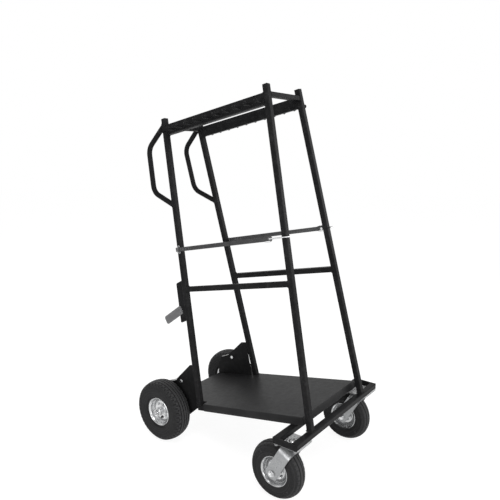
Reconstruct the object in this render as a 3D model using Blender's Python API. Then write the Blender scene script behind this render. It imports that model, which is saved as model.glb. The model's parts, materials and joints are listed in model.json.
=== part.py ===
# Upright storage cart for light stands: a sloping deck on two fixed pneumatic
# rear wheels and two pneumatic swivel casters, four leaning posts, two peg
# rails, two retaining straps and two push handles.
# Metres, +Z up, casters towards +X, the near side towards -Y.
import math

import bmesh
import bpy
from mathutils import Matrix, Vector

# Clearances
GAP = 0.0003
BORE_CLEARANCE = 0.0005
EPS = 0.000001

# Slopes of the deck, of the posts seen from the side, and of the posts inwards
DECK_SLOPE = math.radians(11.24)
POST_LEAN = math.radians(12.79)
SIDE_LEAN = math.radians(4.33)

# Square tube of the posts and rails
POST_SIZE = 0.022
TUBE_WALL = 0.002
TUBE_CORNER = 0.0025
CORNER_STEPS = 2
TOP_RAIL_HEIGHT = 0.044
CROSSBAR_SIZE = 0.019
CAP_THICKNESS = 0.0025

# Level frame over the casters
FRAME_FRONT = 0.7306
FRAME_DEPTH = 0.0996
FRAME_HALF_WIDTH = 0.313
FRAME_TOP = 0.2569
FRAME_HEIGHT = 0.0216
FRONT_BAR = 0.0245
REAR_BAR = 0.0260
END_PLATE = 0.006

# Deck
DECK_LENGTH = 0.520
DECK_HALF_WIDTH = 0.1985
DECK_THICKNESS = 0.030
DECK_FRONT = 0.6798
BOARD_THICKNESS = 0.004
BOARD_CORNER = 0.004
DECK_TUBE = 0.022
DECK_TAIL = 0.200

# Side frames
POST_BASE_X = 0.7146
POST_BASE_Y = 0.196
POST_TOP_Z = 1.463
TOP_RAIL_Z = 1.4660
LOW_RAIL_Z = 0.7882
STRAP_Z = 0.9580
RAIL_REFERENCE_X = 0.7146
CROSSBAR_DROP = 0.036

# Hanging pegs
PEG_SPACES = 10
PEG_INSET = 0.0160836
PEG_RADIUS = 0.005
PEG_LENGTH = 0.046
PEG_COLLAR_RADIUS = 0.008
PEG_COLLAR_LENGTH = 0.003
PEG_KNOB_RADIUS = 0.0075
PEG_KNOB_LENGTH = 0.006
PEG_DROP = 0.011
PEG_STRIP = 0.004
PEG_STRIP_HEIGHT = 0.020

# Push handles
HANDLE_Z = 1.170
HANDLE_DEPTH = 0.118
HANDLE_GRIP = 0.190
HANDLE_SPREAD = 0.335
HANDLE_RADIUS = 0.011
HANDLE_BEND = 0.035

# Rear axle and wheels
REAR_RADIUS = 0.1295
REAR_TYRE_WIDTH = 0.086
REAR_TRACK = 0.227
REAR_CROWN = 0.0058
TREAD_GROOVES = 3
AXLE_RADIUS = 0.008
AXLE_TUBE_RADIUS = 0.0135
AXLE_PLATE = 0.004
PLATE_REACH = 0.085
PLATE_TOP = 0.347
PLATE_SHELF = 0.003
PLATE_REAR = 0.030
PLATE_BELOW = 0.026
PLATE_FOOT = 0.090
PLATE_KNEE = 0.152
PLATE_EDGE_X = 0.030
PLATE_EDGE_Z = 0.130
PLATE_PEAK_X = 0.109
PLATE_PEAK_Z = 0.2115
PLATE_HEEL_X = 0.016
PLATE_HEEL_Z = 0.1095
PLATE_HIP_Z = 0.0705
PLATE_BOLT_X = 0.056
PLATE_BOLT_Z = 0.256
HUB_LENGTH = 0.075
HUB_RADIUS = 0.0165
WASHER_RADIUS = 0.014
WASHER_THICKNESS = 0.0025
NUT_FLATS = 0.024
NUT_THICKNESS = 0.008

# Casters
CASTER_RADIUS = 0.1080
CASTER_TYRE_WIDTH = 0.068
CASTER_CROWN = 0.0095
CASTER_INSET = 0.0525
CASTER_TRAIL = 0.059
CASTER_PLATE_X = 0.112
CASTER_PLATE_Y = 0.104
CASTER_PLATE_T = 0.0045
CASTER_PLATE_CORNER = 0.010
RACE_RADIUS = 0.030
RACE_THICKNESS = 0.0040
FORK_TILT = math.radians(29)
FORK_SHEET = 0.004
FORK_INNER = 0.0385
FORK_CROWN = 0.0045
FORK_SHOULDER_Y = 0.014
FORK_SHOULDER_Z = 0.029
FORK_WIDTH = 0.050
FORK_FOOT = 0.021
FORK_FOOT_CORNER = 0.017
FORK_BEND = 0.010
FORK_BOSS_RADIUS = 0.010
FORK_BLANK = 0.200
HOUSING_RADIUS = 0.0185
KINGPIN_RADIUS = 0.008
KINGPIN_HEAD = 0.0125
KINGPIN_RISE = 0.0055
CASTER_AXLE_RADIUS = 0.006
CASTER_HUB_LENGTH = 0.066
CASTER_HUB_RADIUS = 0.0135
BOLT_X = 0.0395
BOLT_Y = 0.0424
BOLT_RADIUS = 0.004
BOLT_FLATS = 0.013
BOLT_HEAD = 0.0060
BOLT_GRIP = 0.012
BOLT_NUT = 0.0060
THREAD_END = 0.003
AXLE_BOLT_FLATS = 0.019
AXLE_BOLT_HEAD = 0.0056

# Rims
RIM_RADIUS = 0.0605
CASTER_RIM_RADIUS = 0.0565
RIM_WELL_DEPTH = 0.0145
RIM_SHEET = 0.0028
RIM_HALF_WIDTH = 0.031
CASTER_RIM_HALF_WIDTH = 0.027

# Retaining straps
STRAP_HEIGHT = 0.017
STRAP_THICKNESS = 0.004
STRAP_OFFSET = 0.019
STRAP_BARREL = 0.0075
STAPLE_RADIUS = 0.003
STAPLE_SPAN = 0.0125
STRAP_EYE_X = 0.5053
STRAP_EYE_RADIUS = 0.0115
STRAP_EYE_HOLE = 0.0035
HOOK_RADIUS = 0.0025
HOOK_BEND = 0.005
HOOK_OVERHANG = 0.0055
HOOK_DEPTH = 0.016

# Tie-off tab on the near rear post
TIE_PLATE_DEPTH = 0.040
TIE_PLATE_LOW = 0.526
TIE_PLATE_HIGH = 0.700
TIE_PLATE_T = 0.005
TAB_WIDTH = 0.036
TAB_LENGTH = 0.112
TAB_THICKNESS = 0.004
TAB_OVERLAP = 0.016
TAB_DROP = math.radians(36.5)
TAB_SETBACK = 0.0514
TAB_ROOT_Z = 0.5640
RIVET_SHIFT = 0.008
RIVET_RADIUS = 0.0045

# Facets
WHEEL_STEPS = 24
ROUND_STEPS = 12
SMALL_STEPS = 8
SMOOTH_ANGLE = math.radians(35)

COLLECTION_NAME = "stand_storage_cart"

FORWARD = Vector((math.cos(DECK_SLOPE), 0, math.sin(DECK_SLOPE)))
DECK_NORMAL = Vector((-math.sin(DECK_SLOPE), 0, math.cos(DECK_SLOPE)))
ACROSS = Vector((0, 1, 0))
UP = Vector((0, 0, 1))
FRAME_REAR = FRAME_FRONT - FRAME_DEPTH
FRAME_BOTTOM = FRAME_TOP - FRAME_HEIGHT
KINGPIN_X = FRAME_FRONT - FRAME_DEPTH / 2
CASTER_X = KINGPIN_X - CASTER_TRAIL
CASTER_Y = FRAME_HALF_WIDTH - CASTER_INSET
SIDES = {"near": -1, "far": 1}


# Scene helpers

def clear_scene():
    for obj in list(bpy.data.objects):
        bpy.data.objects.remove(obj, do_unlink=True)


def new_collection(name):
    collection = bpy.data.collections.new(name)
    bpy.context.scene.collection.children.link(collection)
    return collection


def make_material(name, colour, roughness, metallic):
    material = bpy.data.materials.new(name)
    material.use_nodes = True
    shader = material.node_tree.nodes["Principled BSDF"]
    shader.inputs["Base Color"].default_value = (*colour, 1)
    shader.inputs["Roughness"].default_value = roughness
    shader.inputs["Metallic"].default_value = metallic
    return material


def make_materials():
    return {
        "paint": make_material("black_frame_paint", (0.020, 0.020, 0.021), 0.38, 0.0),
        "deck": make_material("black_deck_paint", (0.024, 0.024, 0.025), 0.50, 0.0),
        "zinc": make_material("zinc_plated_steel", (0.62, 0.63, 0.64), 0.30, 1.0),
        "rim": make_material("silver_rim_paint", (0.55, 0.56, 0.57), 0.32, 0.8),
        "tyre": make_material("tyre_rubber", (0.030, 0.030, 0.031), 0.75, 0.0),
        "strap": make_material("strap_rubber", (0.070, 0.070, 0.072), 0.65, 0.0),
        "steel": make_material("bare_axle_steel", (0.50, 0.50, 0.51), 0.35, 1.0),
        "tab": make_material("grey_tab_paint", (0.16, 0.16, 0.165), 0.45, 0.0),
    }


def finish_mesh(bm, distance=0.00001):
    bmesh.ops.remove_doubles(bm, verts=bm.verts, dist=distance)
    bmesh.ops.dissolve_degenerate(bm, edges=bm.edges, dist=EPS)
    bmesh.ops.recalc_face_normals(bm, faces=bm.faces)


def add_object(name, bm, material, location=(0, 0, 0), smooth=False):
    """One named object; the mesh is given in world places and moved back by the location."""
    origin = Vector(location)
    bmesh.ops.translate(bm, verts=bm.verts, vec=-origin)
    mesh = bpy.data.meshes.new(name)
    bm.to_mesh(mesh)
    bm.free()
    mesh.materials.clear()
    mesh.materials.append(material)
    obj = bpy.data.objects.new(name, mesh)
    obj.location = origin
    cart.objects.link(obj)
    if smooth:
        mesh.shade_smooth()
        mesh.set_sharp_from_angle(angle=SMOOTH_ANGLE)
    return obj


def merged(parts):
    """One mesh out of several that do not touch."""
    whole = bmesh.new()
    for part in parts:
        mesh = bpy.data.meshes.new("piece")
        part.to_mesh(mesh)
        part.free()
        whole.from_mesh(mesh)
        bpy.data.meshes.remove(mesh)
    return whole


def combined(first, second, operation):
    """Exact boolean of two closed meshes."""
    objects = []
    for bm in (first, second):
        mesh = bpy.data.meshes.new("operand")
        bm.to_mesh(mesh)
        bm.free()
        obj = bpy.data.objects.new("operand", mesh)
        cutters.objects.link(obj)
        objects.append(obj)
    modifier = objects[0].modifiers.new("boolean", "BOOLEAN")
    modifier.operation = operation
    modifier.solver = "EXACT"
    modifier.object = objects[1]
    bpy.context.view_layer.update()
    graph = bpy.context.evaluated_depsgraph_get()
    mesh = bpy.data.meshes.new_from_object(objects[0].evaluated_get(graph))
    result = bmesh.new()
    result.from_mesh(mesh)
    bpy.data.meshes.remove(mesh)
    for obj in objects:
        bpy.data.objects.remove(obj, do_unlink=True)
    bmesh.ops.remove_doubles(result, verts=result.verts, dist=0.00002)
    bmesh.ops.dissolve_degenerate(result, edges=result.edges, dist=0.00002)
    return result


# Outlines and solids

def rounded(corners, steps=CORNER_STEPS):
    """Closed outline through corners given as (x, y, radius)."""
    points = []
    count = len(corners)
    for index, (x, y, radius) in enumerate(corners):
        here = Vector((x, y))
        if radius <= 0:
            points.append(here)
            continue
        before = Vector(corners[index - 1][:2]) - here
        after = Vector(corners[(index + 1) % count][:2]) - here
        half = before.angle(after) / 2
        reach = radius / math.tan(half)
        start = here + before.normalized() * reach
        end = here + after.normalized() * reach
        centre = here + (before.normalized() + after.normalized()).normalized() * (radius / math.sin(half))
        first = start - centre
        turn = first.angle_signed(end - centre)
        for step in range(steps + 1):
            spin = Matrix.Rotation(-turn * step / steps, 2)
            points.append(centre + spin @ first)
    return points


def rectangle(width, height, radius=0.0):
    half_w = width / 2
    half_h = height / 2
    corners = ((-1, -1), (1, -1), (1, 1), (-1, 1))
    return [(half_w * x, half_h * y, radius) for x, y in corners]


def circle(x, y, radius, steps=ROUND_STEPS):
    angles = [2 * math.pi * step / steps for step in range(steps)]
    return [Vector((x + radius * math.cos(angle), y + radius * math.sin(angle))) for angle in angles]


def extruded(loops, thickness):
    """A plate lying in XY about z = 0; the first loop is the outline and the others are holes."""
    data = bpy.data.curves.new("outline", "CURVE")
    data.dimensions = "2D"
    data.fill_mode = "BOTH"
    data.extrude = thickness / 2
    for loop in loops:
        spline = data.splines.new("POLY")
        spline.points.add(len(loop) - 1)
        for point, place in zip(spline.points, loop):
            point.co = (place[0], place[1], 0, 1)
        spline.use_cyclic_u = True
    return curve_mesh(data)


def curve_mesh(data):
    obj = bpy.data.objects.new("curve", data)
    cutters.objects.link(obj)
    bpy.context.view_layer.update()
    graph = bpy.context.evaluated_depsgraph_get()
    mesh = bpy.data.meshes.new_from_object(obj.evaluated_get(graph))
    bm = bmesh.new()
    bm.from_mesh(mesh)
    bpy.data.meshes.remove(mesh)
    bpy.data.objects.remove(obj, do_unlink=True)
    bpy.data.curves.remove(data)
    finish_mesh(bm)
    return bm


def basis(x_axis, y_axis, z_axis, place):
    rows = Matrix((x_axis, y_axis, z_axis)).transposed()
    return Matrix.Translation(place) @ rows.to_4x4()


def plate(loops, thickness, place, x_axis, y_axis):
    """A plate standing at a place; its outline lies along the two axes."""
    bm = extruded(loops, thickness)
    bm.transform(basis(x_axis, y_axis, x_axis.cross(y_axis), place))
    return bm


def slide_end(bm, axis, middle, sign, plane):
    """Move one end's ring along the axis on to a plane given as (point, normal)."""
    point, normal = plane
    for vert in bm.verts:
        if (vert.co - middle).dot(axis) * sign > 0:
            vert.co += axis * ((point - vert.co).dot(normal) / axis.dot(normal))


def hollow_bar(start, end, width, height, tall, planes=(None, None), wall=TUBE_WALL):
    """A rectangular tube; its height lies towards the direction tall."""
    axis = (end - start).normalized()
    rise = (tall - axis * tall.dot(axis)).normalized()
    side = rise.cross(axis)
    outer = rounded(rectangle(width, height, TUBE_CORNER))
    inner = rounded(rectangle(width - 2 * wall, height - 2 * wall, 0))
    middle = (start + end) / 2
    bm = extruded([outer, inner], (end - start).length)
    bm.transform(basis(side, rise, axis, middle))
    for sign, plane in zip((-1, 1), planes):
        if plane is not None:
            slide_end(bm, axis, middle, sign, plane)
    return bm


def capped_bar(start, end, size, forward, floor):
    """A square tube closed at its upper end; its foot lies on a plane given as (point, normal)."""
    axis = (end - start).normalized()
    side = axis.cross((forward - axis * forward.dot(axis)).normalized())
    frame = basis(axis.cross(side) * -1, side * -1, axis, start)
    length = (end - start).length
    outer = rounded(rectangle(size, size, TUBE_CORNER))
    inner = rounded(rectangle(size - 2 * TUBE_WALL, size - 2 * TUBE_WALL, TUBE_WALL / 2))
    bm = bmesh.new()
    rings = []
    for loop, height in ((outer, length), (outer, 0), (inner, 0), (inner, length - CAP_THICKNESS)):
        rings.append([bm.verts.new(frame @ Vector((x, y, height))) for x, y in loop])
    point, normal = floor
    for vert in rings[1] + rings[2]:
        vert.co += axis * ((point - vert.co).dot(normal) / axis.dot(normal))
    count = len(outer)
    for first, second in zip(rings, rings[1:]):
        for index in range(count):
            after = (index + 1) % count
            bm.faces.new((first[index], first[after], second[after], second[index]))
    bm.faces.new(rings[0])
    bm.faces.new(rings[3])
    bmesh.ops.recalc_face_normals(bm, faces=bm.faces)
    return bm


def lathe(profile, steps=ROUND_STEPS, closed=True):
    """A solid of revolution about Z from (radius, height) points."""
    bm = bmesh.new()
    verts = [bm.verts.new((radius, 0, height)) for radius, height in profile]
    edges = [bm.edges.new(pair) for pair in zip(verts, verts[1:])]
    if closed:
        edges.append(bm.edges.new((verts[-1], verts[0])))
    bmesh.ops.spin(
        bm, geom=verts + edges, cent=(0, 0, 0), axis=(0, 0, 1),
        angle=2 * math.pi, steps=steps, use_merge=True)
    finish_mesh(bm)
    return bm


def pointed(bm, direction, place):
    """Turn a mesh made about Z on to a direction and move it to a place."""
    turn = Vector((0, 0, 1)).rotation_difference(direction).to_matrix().to_4x4()
    bm.transform(Matrix.Translation(place) @ turn)
    return bm


def cylinder(radius, length, steps=ROUND_STEPS, edge=0.0):
    """A round bar about Z from height zero, its rims chamfered."""
    profile = [
        (0, 0), (radius - edge, 0), (radius, edge),
        (radius, length - edge), (radius - edge, length), (0, length)]
    if edge <= 0:
        profile = [(0, 0), (radius, 0), (radius, length), (0, length)]
    return lathe(profile, steps, closed=False)


def ring(inner, outer, length, edge=0.0005, steps=ROUND_STEPS):
    profile = [
        (inner, 0), (outer - edge, 0), (outer, edge),
        (outer, length - edge), (outer - edge, length), (inner, length)]
    return lathe(profile, steps)


def hexagon(flats, bore=None):
    corner = flats / math.sqrt(3)
    loops = [circle(0, 0, corner, 6)]
    if bore:
        loops.append(circle(0, 0, bore))
    return loops


def bent_path(points, radius, steps=5):
    """A path through points with its inner corners bent to a radius."""
    path = [points[0]]
    for before, here, after in zip(points, points[1:], points[2:]):
        back = (before - here).normalized()
        ahead = (after - here).normalized()
        half = back.angle(ahead) / 2
        start = here + back * (radius / math.tan(half))
        end = here + ahead * (radius / math.tan(half))
        centre = here + (back + ahead).normalized() * (radius / math.sin(half))
        normal = (start - centre).cross(end - centre).normalized()
        turn = (start - centre).angle(end - centre)
        for step in range(steps + 1):
            path.append(centre + Matrix.Rotation(turn * step / steps, 3, normal) @ (start - centre))
    path.append(points[-1])
    return path


def rod(path, radius, resolution=2):
    """A round bar along a path, with filled ends."""
    data = bpy.data.curves.new("rod", "CURVE")
    data.dimensions = "3D"
    data.bevel_depth = radius
    data.bevel_resolution = resolution
    data.use_fill_caps = True
    spline = data.splines.new("POLY")
    spline.points.add(len(path) - 1)
    for point, place in zip(spline.points, path):
        point.co = (*place, 1)
    return curve_mesh(data)


# Places on the side frames

def post_direction(side):
    inward = -side * math.tan(SIDE_LEAN)
    return Vector((-math.tan(POST_LEAN), inward, 1)).normalized()


def side_base(side):
    return Vector((POST_BASE_X, side * POST_BASE_Y, FRAME_TOP))


def side_place(side, x, z):
    """The point of the side frame's middle plane at x and z."""
    base = side_base(side)
    rise = post_direction(side)
    lift = (z - base.z - (x - base.x) * math.tan(DECK_SLOPE)) / (rise.z - rise.x * math.tan(DECK_SLOPE))
    return Vector((x, base.y + lift * rise.y, z))


def outward(side):
    normal = FORWARD.cross(post_direction(side)).normalized()
    return normal if normal.y * side > 0 else -normal


def rearward(side):
    rise = post_direction(side)
    return -(FORWARD - rise * FORWARD.dot(rise)).normalized()


def rail_height(reference, x):
    return reference - (RAIL_REFERENCE_X - x) * math.tan(DECK_SLOPE)


def deck_corner():
    """The deck's underside at its rear end; it lies on the level frame's rear bar."""
    centre = Vector((FRAME_REAR + TUBE_CORNER, 0, FRAME_TOP - TUBE_CORNER))
    touch = centre + DECK_NORMAL * (TUBE_CORNER + GAP)
    top_front = DECK_FRONT - (touch + DECK_NORMAL * DECK_THICKNESS).x
    return touch + FORWARD * (top_front / FORWARD.x - DECK_LENGTH)


def deck_place(along, across, height):
    return deck_corner() + FORWARD * along + ACROSS * across + DECK_NORMAL * height


def rear_base(side):
    """Where the rear post's axis meets the top of the deck's side rail."""
    seat = deck_place(POST_SIZE / 2 + TUBE_WALL, 0, DECK_THICKNESS - BOARD_THICKNESS)
    return side_place(side, seat.x, seat.z)


def on_post(base, side, z):
    rise = post_direction(side)
    return base + rise * ((z - base.z) / rise.z)


def post_crossing(base, side, reference):
    """Where a rail's centre line meets a post's axis."""
    rise = post_direction(side)
    slope = math.tan(DECK_SLOPE)
    lift = (rail_height(reference, base.x) - base.z) / (rise.z - rise.x * slope)
    return base + rise * lift


# Deck

def make_deck(mats):
    reach = DECK_HALF_WIDTH
    inner = axle_plate_y() - AXLE_PLATE / 2 - 2 * GAP - 0.001
    notch = POST_SIZE + 2 * TUBE_WALL + 0.006
    corner = BOARD_CORNER
    outline = [
        (-DECK_TAIL, -inner, corner), (notch, -inner, 0), (notch, -reach, corner),
        (DECK_LENGTH, -reach, corner), (DECK_LENGTH, reach, corner), (notch, reach, corner),
        (notch, inner, 0), (-DECK_TAIL, inner, corner)]
    middle = deck_place(0, 0, DECK_THICKNESS - BOARD_THICKNESS / 2)
    board = plate([rounded(outline)], BOARD_THICKNESS, middle, FORWARD, ACROSS)
    add_object("deck_board", board, mats["deck"], middle)

    height = DECK_THICKNESS - BOARD_THICKNESS - GAP
    level = height / 2
    for name, side in SIDES.items():
        across = side * (DECK_HALF_WIDTH - DECK_TUBE / 2)
        start = deck_place(0, across, level)
        end = deck_place(DECK_LENGTH, across, level)
        bar = hollow_bar(start, end, DECK_TUBE, height, DECK_NORMAL)
        add_object("deck_side_rail_" + name, bar, mats["paint"], start)
    between_rails = DECK_HALF_WIDTH - DECK_TUBE - GAP
    between_plates = axle_plate_y() - AXLE_PLATE / 2 - GAP
    cross_rails = (
        ("front", DECK_LENGTH - DECK_TUBE / 2, between_rails),
        ("middle", DECK_LENGTH / 2, between_rails),
        ("rear", DECK_TUBE / 2, between_plates))
    for name, along, half in cross_rails:
        start = deck_place(along, -half, level)
        bar = hollow_bar(start, deck_place(along, half, level), DECK_TUBE, height, DECK_NORMAL)
        add_object("deck_cross_rail_" + name, bar, mats["paint"], start)


# Level frame over the casters

def bolt_places():
    places = []
    for side in SIDES.values():
        for along in (-1, 1):
            for across in (-1, 1):
                places.append(Vector((KINGPIN_X + along * BOLT_X, side * CASTER_Y + across * BOLT_Y, 0)))
    return places


def drilled(bm, x_range):
    """Drill the caster bolts' holes through a bar's lower wall."""
    for place in bolt_places():
        if x_range[0] < place.x < x_range[1]:
            drill = cylinder(BOLT_RADIUS + BORE_CLEARANCE, 4 * TUBE_WALL, SMALL_STEPS)
            drill = pointed(drill, UP, Vector((place.x, place.y, FRAME_BOTTOM - 2 * TUBE_WALL)))
            bm = combined(bm, drill, "DIFFERENCE")
    return bm


def make_level_frame(mats):
    level = FRAME_TOP - FRAME_HEIGHT / 2
    reach = FRAME_HALF_WIDTH - END_PLATE - GAP
    bars = (("front", FRAME_FRONT - FRONT_BAR, FRONT_BAR), ("rear", FRAME_REAR, REAR_BAR))
    for name, low, width in bars:
        x = low + width / 2
        bar = hollow_bar(
            Vector((x, -reach, level)), Vector((x, reach, level)), width, FRAME_HEIGHT, UP)
        add_object("caster_frame_bar_" + name, drilled(bar, (low, low + width)), mats["paint"])
    for name, side in SIDES.items():
        place = Vector((KINGPIN_X, side * (FRAME_HALF_WIDTH - END_PLATE / 2), level))
        outline = rounded(rectangle(FRAME_DEPTH, END_PLATE, TUBE_CORNER))
        end = plate([outline], FRAME_HEIGHT, place, Vector((1, 0, 0)), ACROSS)
        add_object("caster_frame_end_" + name, end, mats["paint"])


# Posts, rails and crossbars

def make_side_frames(mats):
    for name, side in SIDES.items():
        rise = post_direction(side)
        back = rearward(side)
        half = POST_SIZE / 2 + GAP
        bases = {"front": side_base(side), "rear": rear_base(side)}
        top_front = on_post(bases["front"], side, POST_TOP_Z)
        stub = (top_front - post_crossing(bases["front"], side, TOP_RAIL_Z)).length
        tops = {"front": top_front, "rear": post_crossing(bases["rear"], side, TOP_RAIL_Z) + rise * stub}
        floors = {
            "front": (Vector((0, 0, FRAME_TOP + GAP)), UP),
            "rear": (deck_place(0, 0, DECK_THICKNESS - BOARD_THICKNESS), DECK_NORMAL)}
        for end in ("front", "rear"):
            post = capped_bar(bases[end], tops[end], POST_SIZE, FORWARD, floors[end])
            add_object("post_" + end + "_" + name, post, mats["paint"], bases[end])

        for rail, reference, height in (("top", TOP_RAIL_Z, TOP_RAIL_HEIGHT), ("low", LOW_RAIL_Z, POST_SIZE)):
            front = post_crossing(bases["front"], side, reference)
            rear = post_crossing(bases["rear"], side, reference)
            planes = ((rear - back * half, back), (front + back * half, back))
            bar = hollow_bar(rear + FORWARD * half, front - FORWARD * half, POST_SIZE, height, rise, planes)
            add_object(rail + "_rail_" + name, bar, mats["paint"])

    for end in ("front", "rear"):
        ends = []
        planes = []
        for side in (-1, 1):
            rise = post_direction(side)
            base = side_base(side) if end == "front" else rear_base(side)
            top = on_post(base, side, POST_TOP_Z)
            if end == "rear":
                stub_top = on_post(side_base(side), side, POST_TOP_Z)
                stub = (stub_top - post_crossing(side_base(side), side, TOP_RAIL_Z)).length
                top = post_crossing(base, side, TOP_RAIL_Z) + rise * stub
            place = top - rise * CROSSBAR_DROP
            ends.append(place)
            planes.append((place - outward(side) * (POST_SIZE / 2 + GAP), outward(side)))
        near = ends[0] + ACROSS * (POST_SIZE / 2)
        far = ends[1] - ACROSS * (POST_SIZE / 2)
        tall = Vector((-math.tan(POST_LEAN), 0, 1)).normalized()
        bar = hollow_bar(near, far, CROSSBAR_SIZE, CROSSBAR_SIZE, tall, planes)
        add_object("top_crossbar_" + end, bar, mats["paint"])


def make_pegs(mats):
    for name, side in SIDES.items():
        out = outward(side)
        rise = post_direction(side)
        front = post_crossing(side_base(side), side, TOP_RAIL_Z)
        rear = post_crossing(rear_base(side), side, TOP_RAIL_Z)
        middle = (front + rear) / 2 - rise * PEG_DROP + out * (POST_SIZE / 2 + GAP)
        knob_start = PEG_LENGTH - PEG_KNOB_LENGTH
        profile = [
            (0, PEG_STRIP / 2), (PEG_COLLAR_RADIUS, PEG_STRIP / 2),
            (PEG_RADIUS, PEG_STRIP + PEG_COLLAR_LENGTH),
            (PEG_RADIUS, knob_start),
            (PEG_KNOB_RADIUS, knob_start + PEG_KNOB_LENGTH / 2), (PEG_RADIUS, PEG_LENGTH), (0, PEG_LENGTH)]
        pegs = []
        pitch = ((front - rear).length - 2 * PEG_INSET) / PEG_SPACES
        for index in range(PEG_SPACES + 1):
            shift = (index - PEG_SPACES / 2) * pitch
            pegs.append(pointed(lathe(profile, SMALL_STEPS, closed=False), out, middle + FORWARD * shift))
        length = PEG_SPACES * pitch + 2 * PEG_COLLAR_RADIUS
        outline = rounded(rectangle(length, PEG_STRIP_HEIGHT, 0.002))
        strip = plate([outline], PEG_STRIP, middle + out * (PEG_STRIP / 2), FORWARD, out.cross(FORWARD))
        comb = combined(strip, merged(pegs), "UNION")
        add_object("peg_comb_" + name, comb, mats["paint"], middle, smooth=True)


def make_handles(mats):
    for name, side in SIDES.items():
        rise = post_direction(side)
        back = rearward(side)
        middle = on_post(rear_base(side), side, HANDLE_Z)
        face = middle + back * (POST_SIZE / 2 + GAP)
        points = [
            face + rise * (HANDLE_SPREAD / 2), middle + back * HANDLE_DEPTH + rise * (HANDLE_GRIP / 2),
            middle + back * HANDLE_DEPTH - rise * (HANDLE_GRIP / 2), face - rise * (HANDLE_SPREAD / 2)]
        bm = rod(bent_path(points, HANDLE_BEND, 6), HANDLE_RADIUS, 4)
        for end, inner in ((points[0], points[1]), (points[3], points[2])):
            leg = (end - inner).normalized()
            for vert in bm.verts:
                if (vert.co - end).length < HANDLE_RADIUS * 1.01:
                    vert.co += leg * ((face - vert.co).dot(back) / leg.dot(back))
        bmesh.ops.recalc_face_normals(bm, faces=bm.faces)
        add_object("push_handle_" + name, bm, mats["paint"], smooth=True)


# Rear axle and wheels

def axle_plate_y():
    return DECK_HALF_WIDTH - DECK_TUBE - GAP - AXLE_PLATE / 2


def behind_post(z):
    """The x just behind the rear post's rear face at the axle plate's y and a height z."""
    face = rear_base(1) + rearward(1) * (POST_SIZE / 2 + 2 * GAP)
    normal = rearward(1)
    return face.x - ((axle_plate_y() - face.y) * normal.y + (z - face.z) * normal.z) / normal.x


def axle_plate_outline():
    """The side plate that carries the axle, as (x, z, corner radius)."""
    deck_low = deck_place(0, 0, 0)
    seat = DECK_THICKNESS - BOARD_THICKNESS - GAP - PLATE_SHELF
    shelf = deck_place(0, 0, seat)
    reach = deck_place(PLATE_REACH, 0, 0)
    reach_top = deck_place(PLATE_REACH - 0.010, 0, seat)
    low = REAR_RADIUS - PLATE_BELOW
    return [
        (-PLATE_REAR, low, 0.020), (PLATE_FOOT, low, 0.030),
        (PLATE_KNEE, deck_low.z - 0.006, 0.010), (reach.x, reach.z, 0.002),
        (reach_top.x, reach_top.z, 0.004), (behind_post(shelf.z), shelf.z, 0.002),
        (behind_post(PLATE_TOP), PLATE_TOP, 0.003), (PLATE_PEAK_X, REAR_RADIUS + PLATE_PEAK_Z, 0.006),
        (PLATE_EDGE_X, REAR_RADIUS + PLATE_EDGE_Z, 0.004), (-PLATE_HEEL_X, REAR_RADIUS + PLATE_HEEL_Z, 0.008),
        (-PLATE_REAR, REAR_RADIUS + PLATE_HIP_Z, 0.020)]


def make_axle_plates(mats):
    for name, side in SIDES.items():
        place = Vector((0, side * axle_plate_y(), 0))
        outline = rounded(axle_plate_outline(), 3)
        holes = [
            circle(0, REAR_RADIUS, AXLE_RADIUS + BORE_CLEARANCE),
            circle(PLATE_BOLT_X, PLATE_BOLT_Z, BOLT_RADIUS + BORE_CLEARANCE, SMALL_STEPS)]
        bm = extruded([outline] + holes, AXLE_PLATE)
        bm.transform(basis(Vector((1, 0, 0)), UP, Vector((0, -1, 0)), place))
        start = axle_plate_y()
        boss = ring(AXLE_RADIUS + BORE_CLEARANCE, WASHER_RADIUS, REAR_TRACK - HUB_LENGTH / 2 - GAP - start)
        boss = pointed(boss, Vector((0, side, 0)), Vector((0, side * start, REAR_RADIUS)))
        add_object("axle_plate_" + name, combined(bm, boss, "UNION"), mats["paint"], place)
        start = place + Vector((PLATE_BOLT_X, side * (AXLE_PLATE / 2), PLATE_BOLT_Z))
        add_object("axle_plate_bolt_" + name, plate_bolt(start, Vector((0, side, 0))), mats["zinc"], start)


def hex_block(flats, height, low):
    """A hexagonal block about Z, its lower face at a height."""
    bm = extruded(hexagon(flats), height)
    bmesh.ops.translate(bm, verts=bm.verts, vec=(0, 0, low + height / 2))
    return bm


def plate_bolt(face, out):
    """A hex bolt with its nut, through a plate whose outer face is given."""
    head = hex_block(BOLT_FLATS, BOLT_HEAD, GAP)
    nut_low = -AXLE_PLATE - GAP - BOLT_NUT
    nut = hex_block(BOLT_FLATS, BOLT_NUT, nut_low)
    shank_low = nut_low - THREAD_END
    shank = cylinder(BOLT_RADIUS, BOLT_HEAD / 2 - shank_low)
    bmesh.ops.translate(shank, verts=shank.verts, vec=(0, 0, shank_low))
    bolt = combined(combined(shank, head, "UNION"), nut, "UNION")
    return pointed(bolt, out, face)


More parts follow.
